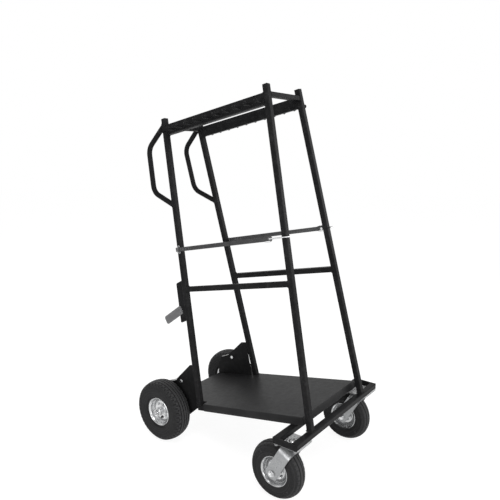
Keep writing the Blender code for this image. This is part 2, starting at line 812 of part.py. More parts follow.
def make_rear_axle(mats):
    reach = REAR_TRACK + HUB_LENGTH / 2 + WASHER_THICKNESS + NUT_THICKNESS + 3 * GAP + 0.004
    axle = cylinder(AXLE_RADIUS, 2 * reach, ROUND_STEPS, 0.001)
    axle = pointed(axle, ACROSS, Vector((0, -reach, REAR_RADIUS)))
    add_object("rear_axle", axle, mats["steel"], (0, 0, REAR_RADIUS), smooth=True)
    half = axle_plate_y() - AXLE_PLATE / 2 - GAP
    tube = ring(AXLE_RADIUS + BORE_CLEARANCE, AXLE_TUBE_RADIUS, 2 * half)
    tube = pointed(tube, ACROSS, Vector((0, -half, REAR_RADIUS)))
    add_object("axle_tube", tube, mats["paint"], (0, 0, REAR_RADIUS), smooth=True)
    for name, side in SIDES.items():
        start = REAR_TRACK + HUB_LENGTH / 2 + GAP
        flange = ring(AXLE_RADIUS + BORE_CLEARANCE, WASHER_RADIUS, WASHER_THICKNESS)
        loops = hexagon(NUT_FLATS, AXLE_RADIUS + BORE_CLEARANCE)
        nut = extruded(loops, NUT_THICKNESS + EPS)
        bmesh.ops.translate(nut, verts=nut.verts, vec=(0, 0, WASHER_THICKNESS / 2 + NUT_THICKNESS / 2))
        nut = combined(flange, nut, "UNION")
        place = Vector((0, side * start, REAR_RADIUS))
        add_object("axle_nut_" + name, pointed(nut, Vector((0, side, 0)), place), mats["zinc"], place)


def rim_profile(lip, half, hub_half, hub_radius, bore):
    """A pressed rim with a dished disc and a hub, as (radius, height); the outer side is up."""
    disc = half * 0.15
    well = lip - RIM_WELL_DEPTH
    sheet = RIM_SHEET
    return [
        (bore, -hub_half), (hub_radius, -hub_half), (hub_radius, disc - sheet), (well - sheet, disc - sheet),
        (well - sheet, -half * 0.66), (lip - sheet, -half), (lip, -half),
        (well, -half * 0.56), (well, half * 0.56), (lip, half),
        (lip - sheet, half), (well - sheet, half * 0.66),
        (well - sheet, disc), (hub_radius, disc), (hub_radius, hub_half), (bore, hub_half)]


def rim_seat(lip, half):
    """The rim's outer side again, one gap out, from its inner edge to its outer edge."""
    well = lip - RIM_WELL_DEPTH
    return [
        (lip + 2 * GAP, half * 0.96), (well + GAP, half * 0.56 - 2 * GAP),
        (well + GAP, -half * 0.56 + 2 * GAP), (lip + 2 * GAP, -half * 0.96)]


def tyre_profile(radius, width, crown_drop, lip, rim_half, grooves):
    half = width / 2
    shoulder = half * 0.72
    wall = (radius + lip) / 2
    outer = [
        (lip + 0.0035, -rim_half * 1.06), (wall - 0.008, -half * 0.96), (wall + 0.008, -half),
        (radius - 0.010 - crown_drop, -half * 0.92), (radius - crown_drop, -shoulder)]
    tread = []
    for index in range(grooves):
        centre = shoulder * (2 * (index + 1) / (grooves + 1) - 1)
        crown = radius - crown_drop * abs(centre / shoulder) ** 2
        tread += [(crown, centre - 0.0026), (crown - 0.003, centre - 0.0012),
                  (crown - 0.003, centre + 0.0012), (crown, centre + 0.0026)]
    if not grooves:
        side_crown = radius - crown_drop / 4
        tread = [(side_crown, -shoulder / 2), (radius, 0), (side_crown, shoulder / 2)]
    mirrored = [(r, -h) for r, h in reversed(outer)]
    return outer + tread + mirrored + rim_seat(lip, rim_half)


def turned_ring(profile, steps, side, place):
    return pointed(lathe(profile, steps), Vector((0, side, 0)), place)


def make_rear_wheels(mats):
    for name, side in SIDES.items():
        place = Vector((0, side * REAR_TRACK, REAR_RADIUS))
        tyre = tyre_profile(
            REAR_RADIUS, REAR_TYRE_WIDTH, REAR_CROWN, RIM_RADIUS, RIM_HALF_WIDTH, TREAD_GROOVES)
        tyre = turned_ring(tyre, WHEEL_STEPS, side, place)
        add_object("rear_tyre_" + name, tyre, mats["tyre"], place, smooth=True)
        rim = rim_profile(
            RIM_RADIUS, RIM_HALF_WIDTH, HUB_LENGTH / 2, HUB_RADIUS, AXLE_RADIUS + BORE_CLEARANCE)
        rim = turned_ring(rim, WHEEL_STEPS, side, place)
        add_object("rear_rim_" + name, rim, mats["rim"], place, smooth=True)


# Casters

def caster_levels():
    """The plate's top and underside, and the fixed race's underside."""
    plate_top = FRAME_BOTTOM - GAP
    plate_low = plate_top - CASTER_PLATE_T
    return plate_top, plate_low, plate_low - GAP - RACE_THICKNESS


def crown_plane(depth):
    """A plane of the tilted crown in its (x, z) from the axle, at a depth under the crown's top."""
    normal = Vector((math.sin(FORK_TILT), 0, math.cos(FORK_TILT)))
    return normal * (CASTER_RADIUS + FORK_CROWN + FORK_SHEET - depth), normal


def make_caster_mounts(mats):
    plate_top, plate_low, race_low = caster_levels()
    for name, side in SIDES.items():
        centre = Vector((KINGPIN_X, side * CASTER_Y, (plate_top + plate_low) / 2))
        outline = rounded(rectangle(CASTER_PLATE_X, CASTER_PLATE_Y, CASTER_PLATE_CORNER))
        hole = circle(0, 0, KINGPIN_RADIUS + BORE_CLEARANCE)
        top = plate([outline, hole], CASTER_PLATE_T, centre, Vector((1, 0, 0)), ACROSS)
        for place in bolt_places():
            if place.y * side > 0:
                top = combined(top, caster_bolt(place), "UNION")
        add_object("caster_plate_" + name, top, mats["zinc"], centre)
        seat = plate_top + GAP
        low = race_low - 2 * RACE_THICKNESS
        profile = [
            (0, seat + KINGPIN_RISE), (KINGPIN_RADIUS, seat + KINGPIN_RISE),
            (KINGPIN_HEAD, seat + KINGPIN_RISE / 2), (KINGPIN_HEAD, seat),
            (KINGPIN_RADIUS, seat), (KINGPIN_RADIUS, plate_low - GAP),
            (RACE_RADIUS - 0.002, plate_low - GAP), (RACE_RADIUS, race_low),
            (KINGPIN_RADIUS, race_low), (KINGPIN_RADIUS, low), (0, low)]
        pin = lathe(profile, 16, closed=False)
        bmesh.ops.translate(pin, verts=pin.verts, vec=(KINGPIN_X, side * CASTER_Y, 0))
        add_object("kingpin_" + name, pin, mats["zinc"], (KINGPIN_X, side * CASTER_Y, 0), smooth=True)


def caster_bolt(place):
    """A stud with its nut, up through the caster plate into the level frame."""
    nut_top = caster_levels()[1] + CASTER_PLATE_T / 3
    nut_low = caster_levels()[1] - BOLT_HEAD
    head = hex_block(BOLT_FLATS, nut_top - nut_low, nut_low)
    shank = cylinder(BOLT_RADIUS, nut_top + BOLT_GRIP - nut_low + THREAD_END, SMALL_STEPS)
    bmesh.ops.translate(shank, verts=shank.verts, vec=(0, 0, nut_low - THREAD_END))
    bolt = combined(shank, head, "UNION")
    bmesh.ops.translate(bolt, verts=bolt.verts, vec=place)
    return bolt


def fork_section():
    """The strap of the fork seen along its width, as (across, height from the axle, radius)."""
    top = CASTER_RADIUS + FORK_CROWN + FORK_SHEET
    outer = FORK_INNER + FORK_SHEET
    inner = FORK_INNER
    crown = top - FORK_SHEET
    soft = FORK_BEND - FORK_SHEET
    knee = top - FORK_SHOULDER_Z
    low = -2 * FORK_FOOT
    return [
        (-outer, low, 0), (-outer, knee, FORK_BEND), (FORK_SHOULDER_Y - outer, top, FORK_BEND),
        (outer - FORK_SHOULDER_Y, top, FORK_BEND), (outer, knee, FORK_BEND), (outer, low, 0),
        (inner, low, 0), (inner, knee - FORK_SHEET / 4, soft),
        (inner - FORK_SHOULDER_Y, crown, soft), (FORK_SHOULDER_Y - inner, crown, soft),
        (-inner, knee - FORK_SHEET / 4, soft), (-inner, low, 0)]


def fork_mesh(side):
    """A folded strap yoke with tilted crown, trimmed legs and the swivel's lower housing."""
    place = Vector((CASTER_X, side * CASTER_Y, CASTER_RADIUS))
    along = Vector((math.cos(FORK_TILT), 0, -math.sin(FORK_TILT)))
    rise = crown_plane(0)[1]
    strap = extruded([rounded(fork_section(), 3)], FORK_BLANK)
    strap.transform(basis(ACROSS, rise, ACROSS.cross(rise), place))

    half = FORK_WIDTH / 2
    top = CASTER_RADIUS + FORK_CROWN + 2 * FORK_SHEET
    shape = [
        (half, top, 0), (half, -FORK_FOOT, FORK_FOOT_CORNER),
        (-half, -FORK_FOOT, FORK_FOOT_CORNER), (-half, top, 0)]
    trim = extruded([rounded(shape, 5)], FORK_BLANK)
    trim.transform(basis(along, rise, along.cross(rise), place))
    fork = combined(strap, trim, "INTERSECT")

    housing_top = caster_levels()[2] - GAP
    sunk, normal = crown_plane(FORK_SHEET / 2)
    housing = cylinder(HOUSING_RADIUS, housing_top, ROUND_STEPS * 2)
    bmesh.ops.translate(housing, verts=housing.verts, vec=(KINGPIN_X, side * CASTER_Y, 0))
    for vert in housing.verts:
        if vert.co.z < housing_top / 2:
            vert.co.z += (sunk + place - vert.co).dot(normal) / normal.z
    fork = combined(fork, housing, "UNION")

    for end in (-1, 1):
        start = CASTER_HUB_LENGTH / 2 + GAP
        boss = cylinder(FORK_BOSS_RADIUS, FORK_INNER + FORK_SHEET / 2 - start)
        inner_end = place + Vector((0, end * start, 0))
        fork = combined(fork, pointed(boss, Vector((0, end, 0)), inner_end), "UNION")
    axle = cylinder(CASTER_AXLE_RADIUS + BORE_CLEARANCE, FORK_BLANK)
    axle = pointed(axle, ACROSS, place - ACROSS * (FORK_BLANK / 2))
    fork = combined(fork, axle, "DIFFERENCE")
    bore_low = KINGPIN_RADIUS + BORE_CLEARANCE
    pin = cylinder(bore_low, 2 * RACE_THICKNESS + 2 * GAP)
    pin_low = caster_levels()[2] - 2 * RACE_THICKNESS - GAP
    pin = pointed(pin, UP, Vector((KINGPIN_X, side * CASTER_Y, pin_low)))
    return combined(fork, pin, "DIFFERENCE")


def make_casters(mats):
    for name, side in SIDES.items():
        centre = Vector((CASTER_X, side * CASTER_Y, CASTER_RADIUS))
        kingpin = Vector((KINGPIN_X, side * CASTER_Y, CASTER_RADIUS))
        add_object("caster_fork_" + name, fork_mesh(side), mats["zinc"], kingpin)
        outer = FORK_INNER + FORK_SHEET + GAP
        head = hex_block(AXLE_BOLT_FLATS, AXLE_BOLT_HEAD, outer)
        nut = hex_block(AXLE_BOLT_FLATS, AXLE_BOLT_HEAD, -outer - AXLE_BOLT_HEAD)
        low = -outer - AXLE_BOLT_HEAD - THREAD_END
        shank = cylinder(CASTER_AXLE_RADIUS, outer + AXLE_BOLT_HEAD / 2 - low)
        bmesh.ops.translate(shank, verts=shank.verts, vec=(0, 0, low))
        bolt = combined(combined(shank, head, "UNION"), nut, "UNION")
        add_object("caster_axle_" + name, pointed(bolt, ACROSS, centre), mats["zinc"], centre)
        tyre = tyre_profile(
            CASTER_RADIUS, CASTER_TYRE_WIDTH, CASTER_CROWN, CASTER_RIM_RADIUS, CASTER_RIM_HALF_WIDTH, 0)
        tyre = turned_ring(tyre, WHEEL_STEPS, side, centre)
        add_object("caster_tyre_" + name, tyre, mats["tyre"], centre, smooth=True)
        bore = CASTER_AXLE_RADIUS + BORE_CLEARANCE
        rim = rim_profile(
            CASTER_RIM_RADIUS, CASTER_RIM_HALF_WIDTH, CASTER_HUB_LENGTH / 2, CASTER_HUB_RADIUS, bore)
        rim = turned_ring(rim, WHEEL_STEPS, side, centre)
        add_object("caster_rim_" + name, rim, mats["rim"], centre, smooth=True)


# Retaining straps

def strap_hinge(side):
    """The middle of the staple's rod on the rear post's outer face."""
    return post_crossing(rear_base(side), side, STRAP_Z) + outward(side) * STRAP_OFFSET


def make_staples(mats):
    for name, side in SIDES.items():
        rise = post_direction(side)
        out = outward(side)
        rod_middle = strap_hinge(side)
        foot = rod_middle - out * (STRAP_OFFSET - POST_SIZE / 2 - GAP)
        span = rise * STAPLE_SPAN
        points = [foot + span, rod_middle + span, rod_middle - span, foot - span]
        staple = rod(bent_path(points, STAPLE_RADIUS * 1.1, 4), STAPLE_RADIUS)
        add_object("strap_staple_" + name, staple, mats["zinc"], rod_middle, smooth=True)


def make_straps(mats):
    for name, side in SIDES.items():
        rise = post_direction(side)
        out = outward(side)
        hinge = strap_hinge(side)
        tall = FORWARD.cross(out)
        tall = tall if tall.z > 0 else -tall
        eye = (STRAP_EYE_X - hinge.x) / FORWARD.x
        half = STRAP_HEIGHT / 2
        start = STRAP_BARREL * 0.8
        wide = STRAP_EYE_RADIUS
        nose = STRAP_EYE_RADIUS * 0.98
        blank = [
            (start, -half, 0), (eye - 0.026, -half, 0.02), (eye - 0.012, -wide, 0.01),
            (eye + wide, -wide, nose), (eye + wide, wide, nose),
            (eye - 0.012, wide, 0.01), (eye - 0.026, half, 0.02), (start, half, 0)]
        loops = [rounded(blank, 5), circle(eye, 0, STRAP_EYE_HOLE)]
        band = extruded(loops, STRAP_THICKNESS)
        band.transform(basis(FORWARD, tall, FORWARD.cross(tall), hinge))
        barrel = pointed(cylinder(STRAP_BARREL, STRAP_HEIGHT), rise, hinge - rise * half)
        strap = combined(band, barrel, "UNION")
        bore = pointed(cylinder(STAPLE_RADIUS + 2 * GAP, 2 * STRAP_HEIGHT), rise, hinge - rise * STRAP_HEIGHT)
        strap = combined(strap, bore, "DIFFERENCE")
        add_object("strap_" + name, strap, mats["strap"], hinge, smooth=True)

        post = post_crossing(side_base(side), side, STRAP_Z)
        front = (post - hinge).dot(FORWARD) + POST_SIZE / 2 + GAP + HOOK_RADIUS + HOOK_OVERHANG
        lift = STRAP_THICKNESS / 2 + HOOK_RADIUS + 2 * GAP
        points = [
            hinge + FORWARD * eye - out * (STRAP_THICKNESS / 2 + 0.004), hinge + FORWARD * eye + out * lift,
            hinge + FORWARD * front + out * lift, hinge + FORWARD * front - out * HOOK_DEPTH]
        hook = rod(bent_path(points, HOOK_BEND * 0.8, 4), HOOK_RADIUS)
        add_object("strap_hook_" + name, hook, mats["zinc"], hinge, smooth=True)


# Tie-off tab

def make_tie_tab(mats):
    side = SIDES["near"]
    rise = post_direction(side)
    back = rearward(side)
    out = outward(side)
    base = rear_base(side)
    low = on_post(base, side, TIE_PLATE_LOW)
    length = (TIE_PLATE_HIGH - TIE_PLATE_LOW) / rise.z
    near_edge = POST_SIZE / 2 + GAP
    far_edge = near_edge + TIE_PLATE_DEPTH
    blank = [
        (near_edge, 0.010, 0), (near_edge, length, 0),
        (far_edge, length - 0.012, 0.006), (far_edge, 0, 0.004)]
    tie_plate = plate([rounded(blank)], TIE_PLATE_T, low, back, rise)
    add_object("tie_plate", tie_plate, mats["paint"])

    root_x = on_post(base, side, TAB_ROOT_Z).x - TAB_SETBACK
    root = side_place(side, root_x, TAB_ROOT_Z) + out * (TIE_PLATE_T / 2 + GAP + TAB_THICKNESS / 2)
    along = Vector((-math.cos(TAB_DROP), 0, -math.sin(TAB_DROP)))
    along = (along - out * along.dot(out)).normalized()
    across = out.cross(along)
    half = TAB_WIDTH / 2
    end = TAB_LENGTH - TAB_OVERLAP
    outline = [
        (-TAB_OVERLAP, -half, 0.004), (end, -half, 0.008),
        (end, half, 0.008), (-TAB_OVERLAP, half, 0.004)]
    tab = plate([rounded(outline)], TAB_THICKNESS, root, along, across)
    for shift in (-RIVET_SHIFT, RIVET_SHIFT):
        place = root + across * shift + out * (TAB_THICKNESS / 4)
        rivet = [(0, 0), (RIVET_RADIUS, 0), (RIVET_RADIUS * 0.75, 0.0026), (0, 0.0032)]
        tab = combined(tab, pointed(lathe(rivet, 12, closed=False), out, place), "UNION")
    add_object("tie_tab", tab, mats["tab"], root)


def centre_on_floor():
    """Move everything so that the box's middle stands over the origin, on the floor."""
    corners = []
    for obj in cart.objects:
        corners += [obj.location + vert.co for vert in obj.data.vertices]
    low = [min(corner[axis] for corner in corners) for axis in range(3)]
    high = [max(corner[axis] for corner in corners) for axis in range(3)]
    shift = Vector(((low[0] + high[0]) / 2, (low[1] + high[1]) / 2, low[2]))
    for obj in cart.objects:
        obj.location -= shift


clear_scene()
cart = new_collection(COLLECTION_NAME)
cutters = new_collection("cutters")
materials = make_materials()
make_deck(materials)
make_level_frame(materials)
make_side_frames(materials)
make_pegs(materials)
make_handles(materials)
make_axle_plates(materials)
make_rear_axle(materials)
make_rear_wheels(materials)
make_caster_mounts(materials)
make_casters(materials)
make_staples(materials)
make_straps(materials)
make_tie_tab(materials)
centre_on_floor()
bpy.data.collections.remove(cutters)
bpy.context.view_layer.update()
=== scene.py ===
import json
import math
from types import SimpleNamespace

import bmesh
import bpy
import numpy as np
from mathutils import Matrix, Vector


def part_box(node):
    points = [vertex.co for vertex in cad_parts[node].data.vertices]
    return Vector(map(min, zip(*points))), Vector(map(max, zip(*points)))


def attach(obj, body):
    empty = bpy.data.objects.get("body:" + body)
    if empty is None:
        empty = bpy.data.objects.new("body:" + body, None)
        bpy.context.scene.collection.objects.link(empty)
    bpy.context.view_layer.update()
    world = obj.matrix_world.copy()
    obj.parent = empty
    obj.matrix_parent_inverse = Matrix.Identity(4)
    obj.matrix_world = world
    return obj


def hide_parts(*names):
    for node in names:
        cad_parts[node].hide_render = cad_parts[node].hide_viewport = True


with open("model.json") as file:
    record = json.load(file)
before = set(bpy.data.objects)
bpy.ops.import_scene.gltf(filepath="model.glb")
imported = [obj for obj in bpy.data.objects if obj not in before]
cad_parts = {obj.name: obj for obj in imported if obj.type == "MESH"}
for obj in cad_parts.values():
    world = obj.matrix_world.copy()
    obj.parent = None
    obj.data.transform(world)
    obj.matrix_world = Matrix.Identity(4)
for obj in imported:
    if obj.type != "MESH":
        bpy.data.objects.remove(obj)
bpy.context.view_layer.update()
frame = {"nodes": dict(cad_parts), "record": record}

# Axes: +X towards the casters, -Y the near side, +Z up; metres.
SIDES = {"near": -1, "far": 1}
ACROSS = Vector((0, 1, 0))
UP = Vector((0, 0, 1))
DECK_SLOPE = math.radians(11.24)
POST_LEAN = math.radians(12.79)
SIDE_LEAN = math.radians(4.33)
FORK_TILT = math.radians(29)
FORWARD = Vector((math.cos(DECK_SLOPE), 0, math.sin(DECK_SLOPE)))
DECK_NORMAL = Vector((-math.sin(DECK_SLOPE), 0, math.cos(DECK_SLOPE)))
FORK_RISE = Vector((math.sin(FORK_TILT), 0, math.cos(FORK_TILT)))
FORK_ALONG = Vector((math.cos(FORK_TILT), 0, -math.sin(FORK_TILT)))

GAP = 0.0003
MERGE = 0.000005
POST = 0.022
TOP_RAIL_HEIGHT = 0.044
CROSSBAR = 0.019
CROSSBAR_DROP = 0.036
FRAME_FRONT = 0.7306
FRAME_REAR = 0.6310
FRAME_TOP = 0.2569
FRAME_BOTTOM = 0.2353
FRAME_HALF_WIDTH = 0.313
SLOT_REAR = 0.6550
SLOT_FRONT = 0.7081
TUBE_CORNER = 0.0025
DECK_LENGTH = 0.520
DECK_TAIL = 0.200
DECK_HALF_WIDTH = 0.1985
DECK_THICKNESS = 0.030
DECK_FRONT = 0.6798
BOARD = 0.004
BASE_X = 0.7146
BASE_Y = 0.196
POST_TOP_Z = 1.463
TOP_RAIL_Z = 1.4660
LOW_RAIL_Z = 0.7882
STRAP_Z = 0.9580
STRAP_OFFSET = 0.019
STRAP_EYE_X = {"near": 0.5053, "far": 0.5330}
HANDLE_Z = 1.170
TIE_LOW_Z = 0.526
TIE_HIGH_Z = 0.700
AXLE_PLATE_Y = 0.1742
AXLE_PLATE_HALF = 0.002
PLATE_BOLT_X = 0.056
PLATE_BOLT_Z = 0.256
REAR_RADIUS = 0.1295
REAR_TRACK = 0.227
REAR_HUB_HALF = 0.0375
AXLE_WASHER = 0.0025
AXLE_NUT = 0.008
CASTER_RADIUS = 0.1080
CASTER_HUB_HALF = 0.0330
CASTER_X = 0.6218
CASTER_Y = 0.2605
CASTER_PLATE = 0.0045
CASTER_RACE = 0.0040
KINGPIN_X = 0.6808
FORK_INNER = 0.0385
FORK_SHEET = 0.004

WHEELS = {
    "rear": SimpleNamespace(
        radius=REAR_RADIUS, width=0.086, crown=0.0058, lip=0.0605, rim_half=0.031,
        hub_radius=0.0165, hub_half=REAR_HUB_HALF, bore=0.0085, look="rim",
        grooves=4, lugs=40, depth=0.0042, notch=0.0032, sway=0.0003),
    "caster": SimpleNamespace(
        radius=CASTER_RADIUS, width=0.068, crown=0.0095, lip=0.0565, rim_half=0.027,
        hub_radius=0.0135, hub_half=CASTER_HUB_HALF, bore=0.0065, look="caster_rim",
        grooves=3, lugs=36, depth=0.0028, notch=0.0013, sway=0.0002),
}


def middle(node):
    low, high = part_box(node)
    return [(a + b) / 2 for a, b in zip(low, high)]


AXLE_X = middle("rear_tyre_near")[0]


def at(x, y, z):
    """A place given from the rear axle."""
    return Vector((x + AXLE_X, y, z))


# Camera

def make_camera():
    camera = bpy.data.cameras.new("camera")
    camera.sensor_width = 36
    camera.lens = 38.546
    forward = Vector((-0.59790938, 0.78108163, -0.18004406))
    right = Vector((0.79361497, 0.60840767, 0.00392247))
    turn = Matrix((right, right.cross(forward), -forward)).transposed().to_4x4()
    rig = bpy.data.objects.new("camera", camera)
    rig.matrix_world = Matrix.Translation(at(1.60328, -1.71358, 1.22456)) @ turn
    bpy.context.scene.collection.objects.link(rig)
    bpy.context.scene.camera = rig


# Materials

class Nodes:
    """Adds nodes to one material or world."""

    def __init__(self, tree):
        self.tree = tree

    def add(self, kind, **settings):
        node = self.tree.nodes.new(kind)
        for key, value in settings.items():
            setattr(node, key, value)
        return node

    def feed(self, socket, value):
        """Links the output of another node, or sets a number or a colour."""
        if hasattr(value, "links"):
            self.tree.links.new(value, socket)
        else:
            socket.default_value = (*value, 1) if isinstance(value, tuple) else value

    def span(self, value, low, high, out_low, out_high):
        """A value carried from one range over to another."""
        node = self.add("ShaderNodeMapRange")
        self.feed(node.inputs["Value"], value)
        for name, number in (("From Min", low), ("From Max", high),
                             ("To Min", out_low), ("To Max", out_high)):
            node.inputs[name].default_value = number
        return node.outputs["Result"]

    def mix(self, factor, first, second):
        node = self.add("ShaderNodeMix", data_type="RGBA")
        for name, value in (("Factor", factor), ("A", first), ("B", second)):
            self.feed(node.inputs[name], value)
        return node.outputs["Result"]

    def math(self, operation, first, second):
        node = self.add("ShaderNodeMath", operation=operation)
        self.feed(node.inputs[0], first)
        self.feed(node.inputs[1], second)
        return node.outputs["Value"]

    def plain_view(self):
        """One for rays from the camera, off glossy surfaces and through glass."""
        path = self.add("ShaderNodeLightPath").outputs
        seen = self.math("MAXIMUM", path["Is Camera Ray"], path["Is Glossy Ray"])
        return self.math("MAXIMUM", seen, path["Is Transmission Ray"])


class Surface(Nodes):
    """A material with a Principled shader, patterned in object coordinates."""

    def __init__(self, name, metallic, specular, coat=0.0):
        self.material = bpy.data.materials.new(name)
        self.material.use_nodes = True
        super().__init__(self.material.node_tree)
        self.shader = self.tree.nodes["Principled BSDF"].inputs
        self.shader["Metallic"].default_value = metallic
        self.shader["Specular IOR Level"].default_value = specular
        self.shader["Coat Weight"].default_value = coat
        self.coords = self.add("ShaderNodeTexCoord").outputs["Object"]

    def geometry(self, name):
        return self.add("ShaderNodeNewGeometry").outputs[name]

    def convex_edge_mask(self, low, high):
        """High on convex edges."""
        return self.span(self.geometry("Pointiness"), low, high, 0, 1)

    def noise(self, scale, detail, rough=0.55, stretch=None):
        coords = self.coords
        if stretch:
            mapping = self.add("ShaderNodeMapping")
            mapping.inputs["Scale"].default_value = stretch
            self.feed(mapping.inputs["Vector"], coords)
            coords = mapping.outputs["Vector"]
        node = self.add("ShaderNodeTexNoise")
        self.feed(node.inputs["Vector"], coords)
        node.inputs["Scale"].default_value = scale
        node.inputs["Detail"].default_value = detail
        node.inputs["Roughness"].default_value = rough
        return node.outputs["Fac"]

    def finish(self, colour, roughness, height, strength, distance):
        bump = self.add("ShaderNodeBump")
        bump.inputs["Strength"].default_value = strength
        bump.inputs["Distance"].default_value = distance
        self.feed(bump.inputs["Height"], height)
        self.feed(self.shader["Base Color"], colour)
        self.feed(self.shader["Roughness"], roughness)
        self.feed(self.shader["Normal"], bump.outputs["Normal"])
        return self.material


def paint(name, base, light, rough, specular=0.045, most_edge_lightening=0.25, least_edge_lightening=0.0, edge=2.6):
    """Powder-coated steel: fine orange peel, faint dust, and convex edges lightened partly as
    rubbed paint and partly as a painted edge highlight.
    """
    nodes = Surface(name, 0.0, specular)
    broad = nodes.noise(9, 5)
    peel = nodes.noise(420, 3)
    dust = nodes.noise(55, 6, 0.7)
    colour = nodes.mix(nodes.span(broad, 0.35, 0.7, 0, 1), base, light)
    # Convex edges lightened: partly rubbed paint, partly a painted highlight along the edges.
    worn_and_lit_edge_colour = tuple(channel * edge + 0.02 for channel in light)
    scuffs_and_edge_highlight = nodes.math("MULTIPLY", nodes.convex_edge_mask(0.53, 0.62),
                        nodes.span(dust, 0.5, 0.7, least_edge_lightening, most_edge_lightening))
    roughness = nodes.math("ADD", nodes.span(dust, 0.3, 0.75, rough - 0.05, rough + 0.07),
                           nodes.span(peel, 0.3, 0.7, -0.03, 0.03))
    return nodes.finish(nodes.mix(scuffs_and_edge_highlight, colour, worn_and_lit_edge_colour), roughness, peel, 0.16, 0.0004)


def zinc(name, base, light, rough, streak=0.0, metallic=1.0):
    """Plated steel with a faint crystalline mottle, stains and drawing lines."""
    nodes = Surface(name, metallic, 0.5)
    mottle = nodes.noise(160, 4)
    stains = nodes.noise(28, 6, 0.65)
    lines = nodes.noise(300, 2, 0.5, (1, 1, 18))
    colour = nodes.mix(nodes.span(mottle, 0.35, 0.65, 0, 1), base, light)
    dull = tuple(channel * 0.72 for channel in base)
    colour = nodes.mix(nodes.span(stains, 0.56, 0.76, 0, 0.55), colour, dull)
    roughness = nodes.math("ADD", nodes.span(stains, 0.3, 0.75, rough - 0.05, rough + 0.12),
                           nodes.span(mottle, 0.3, 0.7, -0.04, 0.04))
    height = nodes.math("ADD", mottle, nodes.math("MULTIPLY", lines, streak))
    return nodes.finish(colour, roughness, height, 0.10, 0.0004)


def plate_finish():
    """Dull plated face; faces that do not point up are painted darker as shade."""
    nodes = Surface("dull_zinc_plating", 0.22, 0.5)
    mottle = nodes.noise(120, 4)
    stains = nodes.noise(30, 6, 0.65)
    colour = nodes.mix(nodes.span(mottle, 0.35, 0.65, 0, 1),
                       (0.66, 0.665, 0.67), (0.78, 0.785, 0.79))
    colour = nodes.mix(nodes.span(stains, 0.55, 0.78, 0, 0.5), colour, (0.46, 0.46, 0.455))
    # Painted shade by facing: up-facing faces keep the pale colour, the side faces are darkened.
    axes = nodes.add("ShaderNodeSeparateXYZ")
    nodes.feed(axes.inputs["Vector"], nodes.geometry("Normal"))
    sides = nodes.span(axes.outputs["Z"], 0.55, 0.95, 1, 0)
    colour = nodes.mix(sides, colour, (0.27, 0.27, 0.272))
    roughness = nodes.span(stains, 0.3, 0.75, 0.30, 0.46)
    return nodes.finish(colour, roughness, mottle, 0.10, 0.0003)


def rim_silver(name, base, light):
    """Silver lacquer on pressed steel, with painted shade darkening the hollows."""
    nodes = Surface(name, 0.88, 0.5, 0.12)
    nodes.shader["Coat Roughness"].default_value = 0.15
    flakes = nodes.noise(900, 2)
    broad = nodes.noise(22, 6, 0.62)
    colour = nodes.mix(nodes.span(flakes, 0.3, 0.7, 0, 1), base, light)
    # Painted shade: concave hollows are darkened almost to black, unevenly by a broad noise.
    hollow_shade_mask = nodes.span(nodes.geometry("Pointiness"), 0.42, 0.492, 0.85, 0)
    pore_dust_and_hollow_shade = nodes.math("MULTIPLY", hollow_shade_mask, nodes.span(broad, 0.3, 0.7, 0.75, 1))
    colour = nodes.mix(pore_dust_and_hollow_shade, colour, (0.07, 0.07, 0.07))
    roughness = nodes.span(broad, 0.3, 0.75, 0.16, 0.24)
    return nodes.finish(colour, roughness, flakes, 0.03, 0.0002)


def rubber(name, base, light, rough, grain, specular):
    """Moulded rubber with a fine grain, a grey bloom, and edges lightened partly as chalk and
    partly as a painted highlight on lit edges.
    """
    nodes = Surface(name, 0.0, specular)
    bloom = nodes.noise(18, 6, 0.65)
    pores = nodes.noise(grain, 4, 0.6)
    colour = nodes.mix(nodes.span(bloom, 0.32, 0.72, 0, 1), base, light)
    pore_dust_and_hollow_shade = tuple(channel * 1.8 + 0.01 for channel in light)
    colour = nodes.mix(nodes.span(pores, 0.58, 0.8, 0, 0.35), colour, pore_dust_and_hollow_shade)
    # Painted highlight: convex edges such as the tread ribs are lightened, partly as chalky rubber.
    chalk_and_lit_edge_tone = tuple(channel * 2.6 + 0.02 for channel in light)
    rubbed_and_lit_edge_mask = nodes.math("MULTIPLY", nodes.convex_edge_mask(0.515, 0.585), 0.60)
    colour = nodes.mix(rubbed_and_lit_edge_mask, colour, chalk_and_lit_edge_tone)
    roughness = nodes.span(bloom, 0.3, 0.75, rough - 0.06, rough + 0.08)
    return nodes.finish(colour, roughness, pores, 0.35, 0.0006)


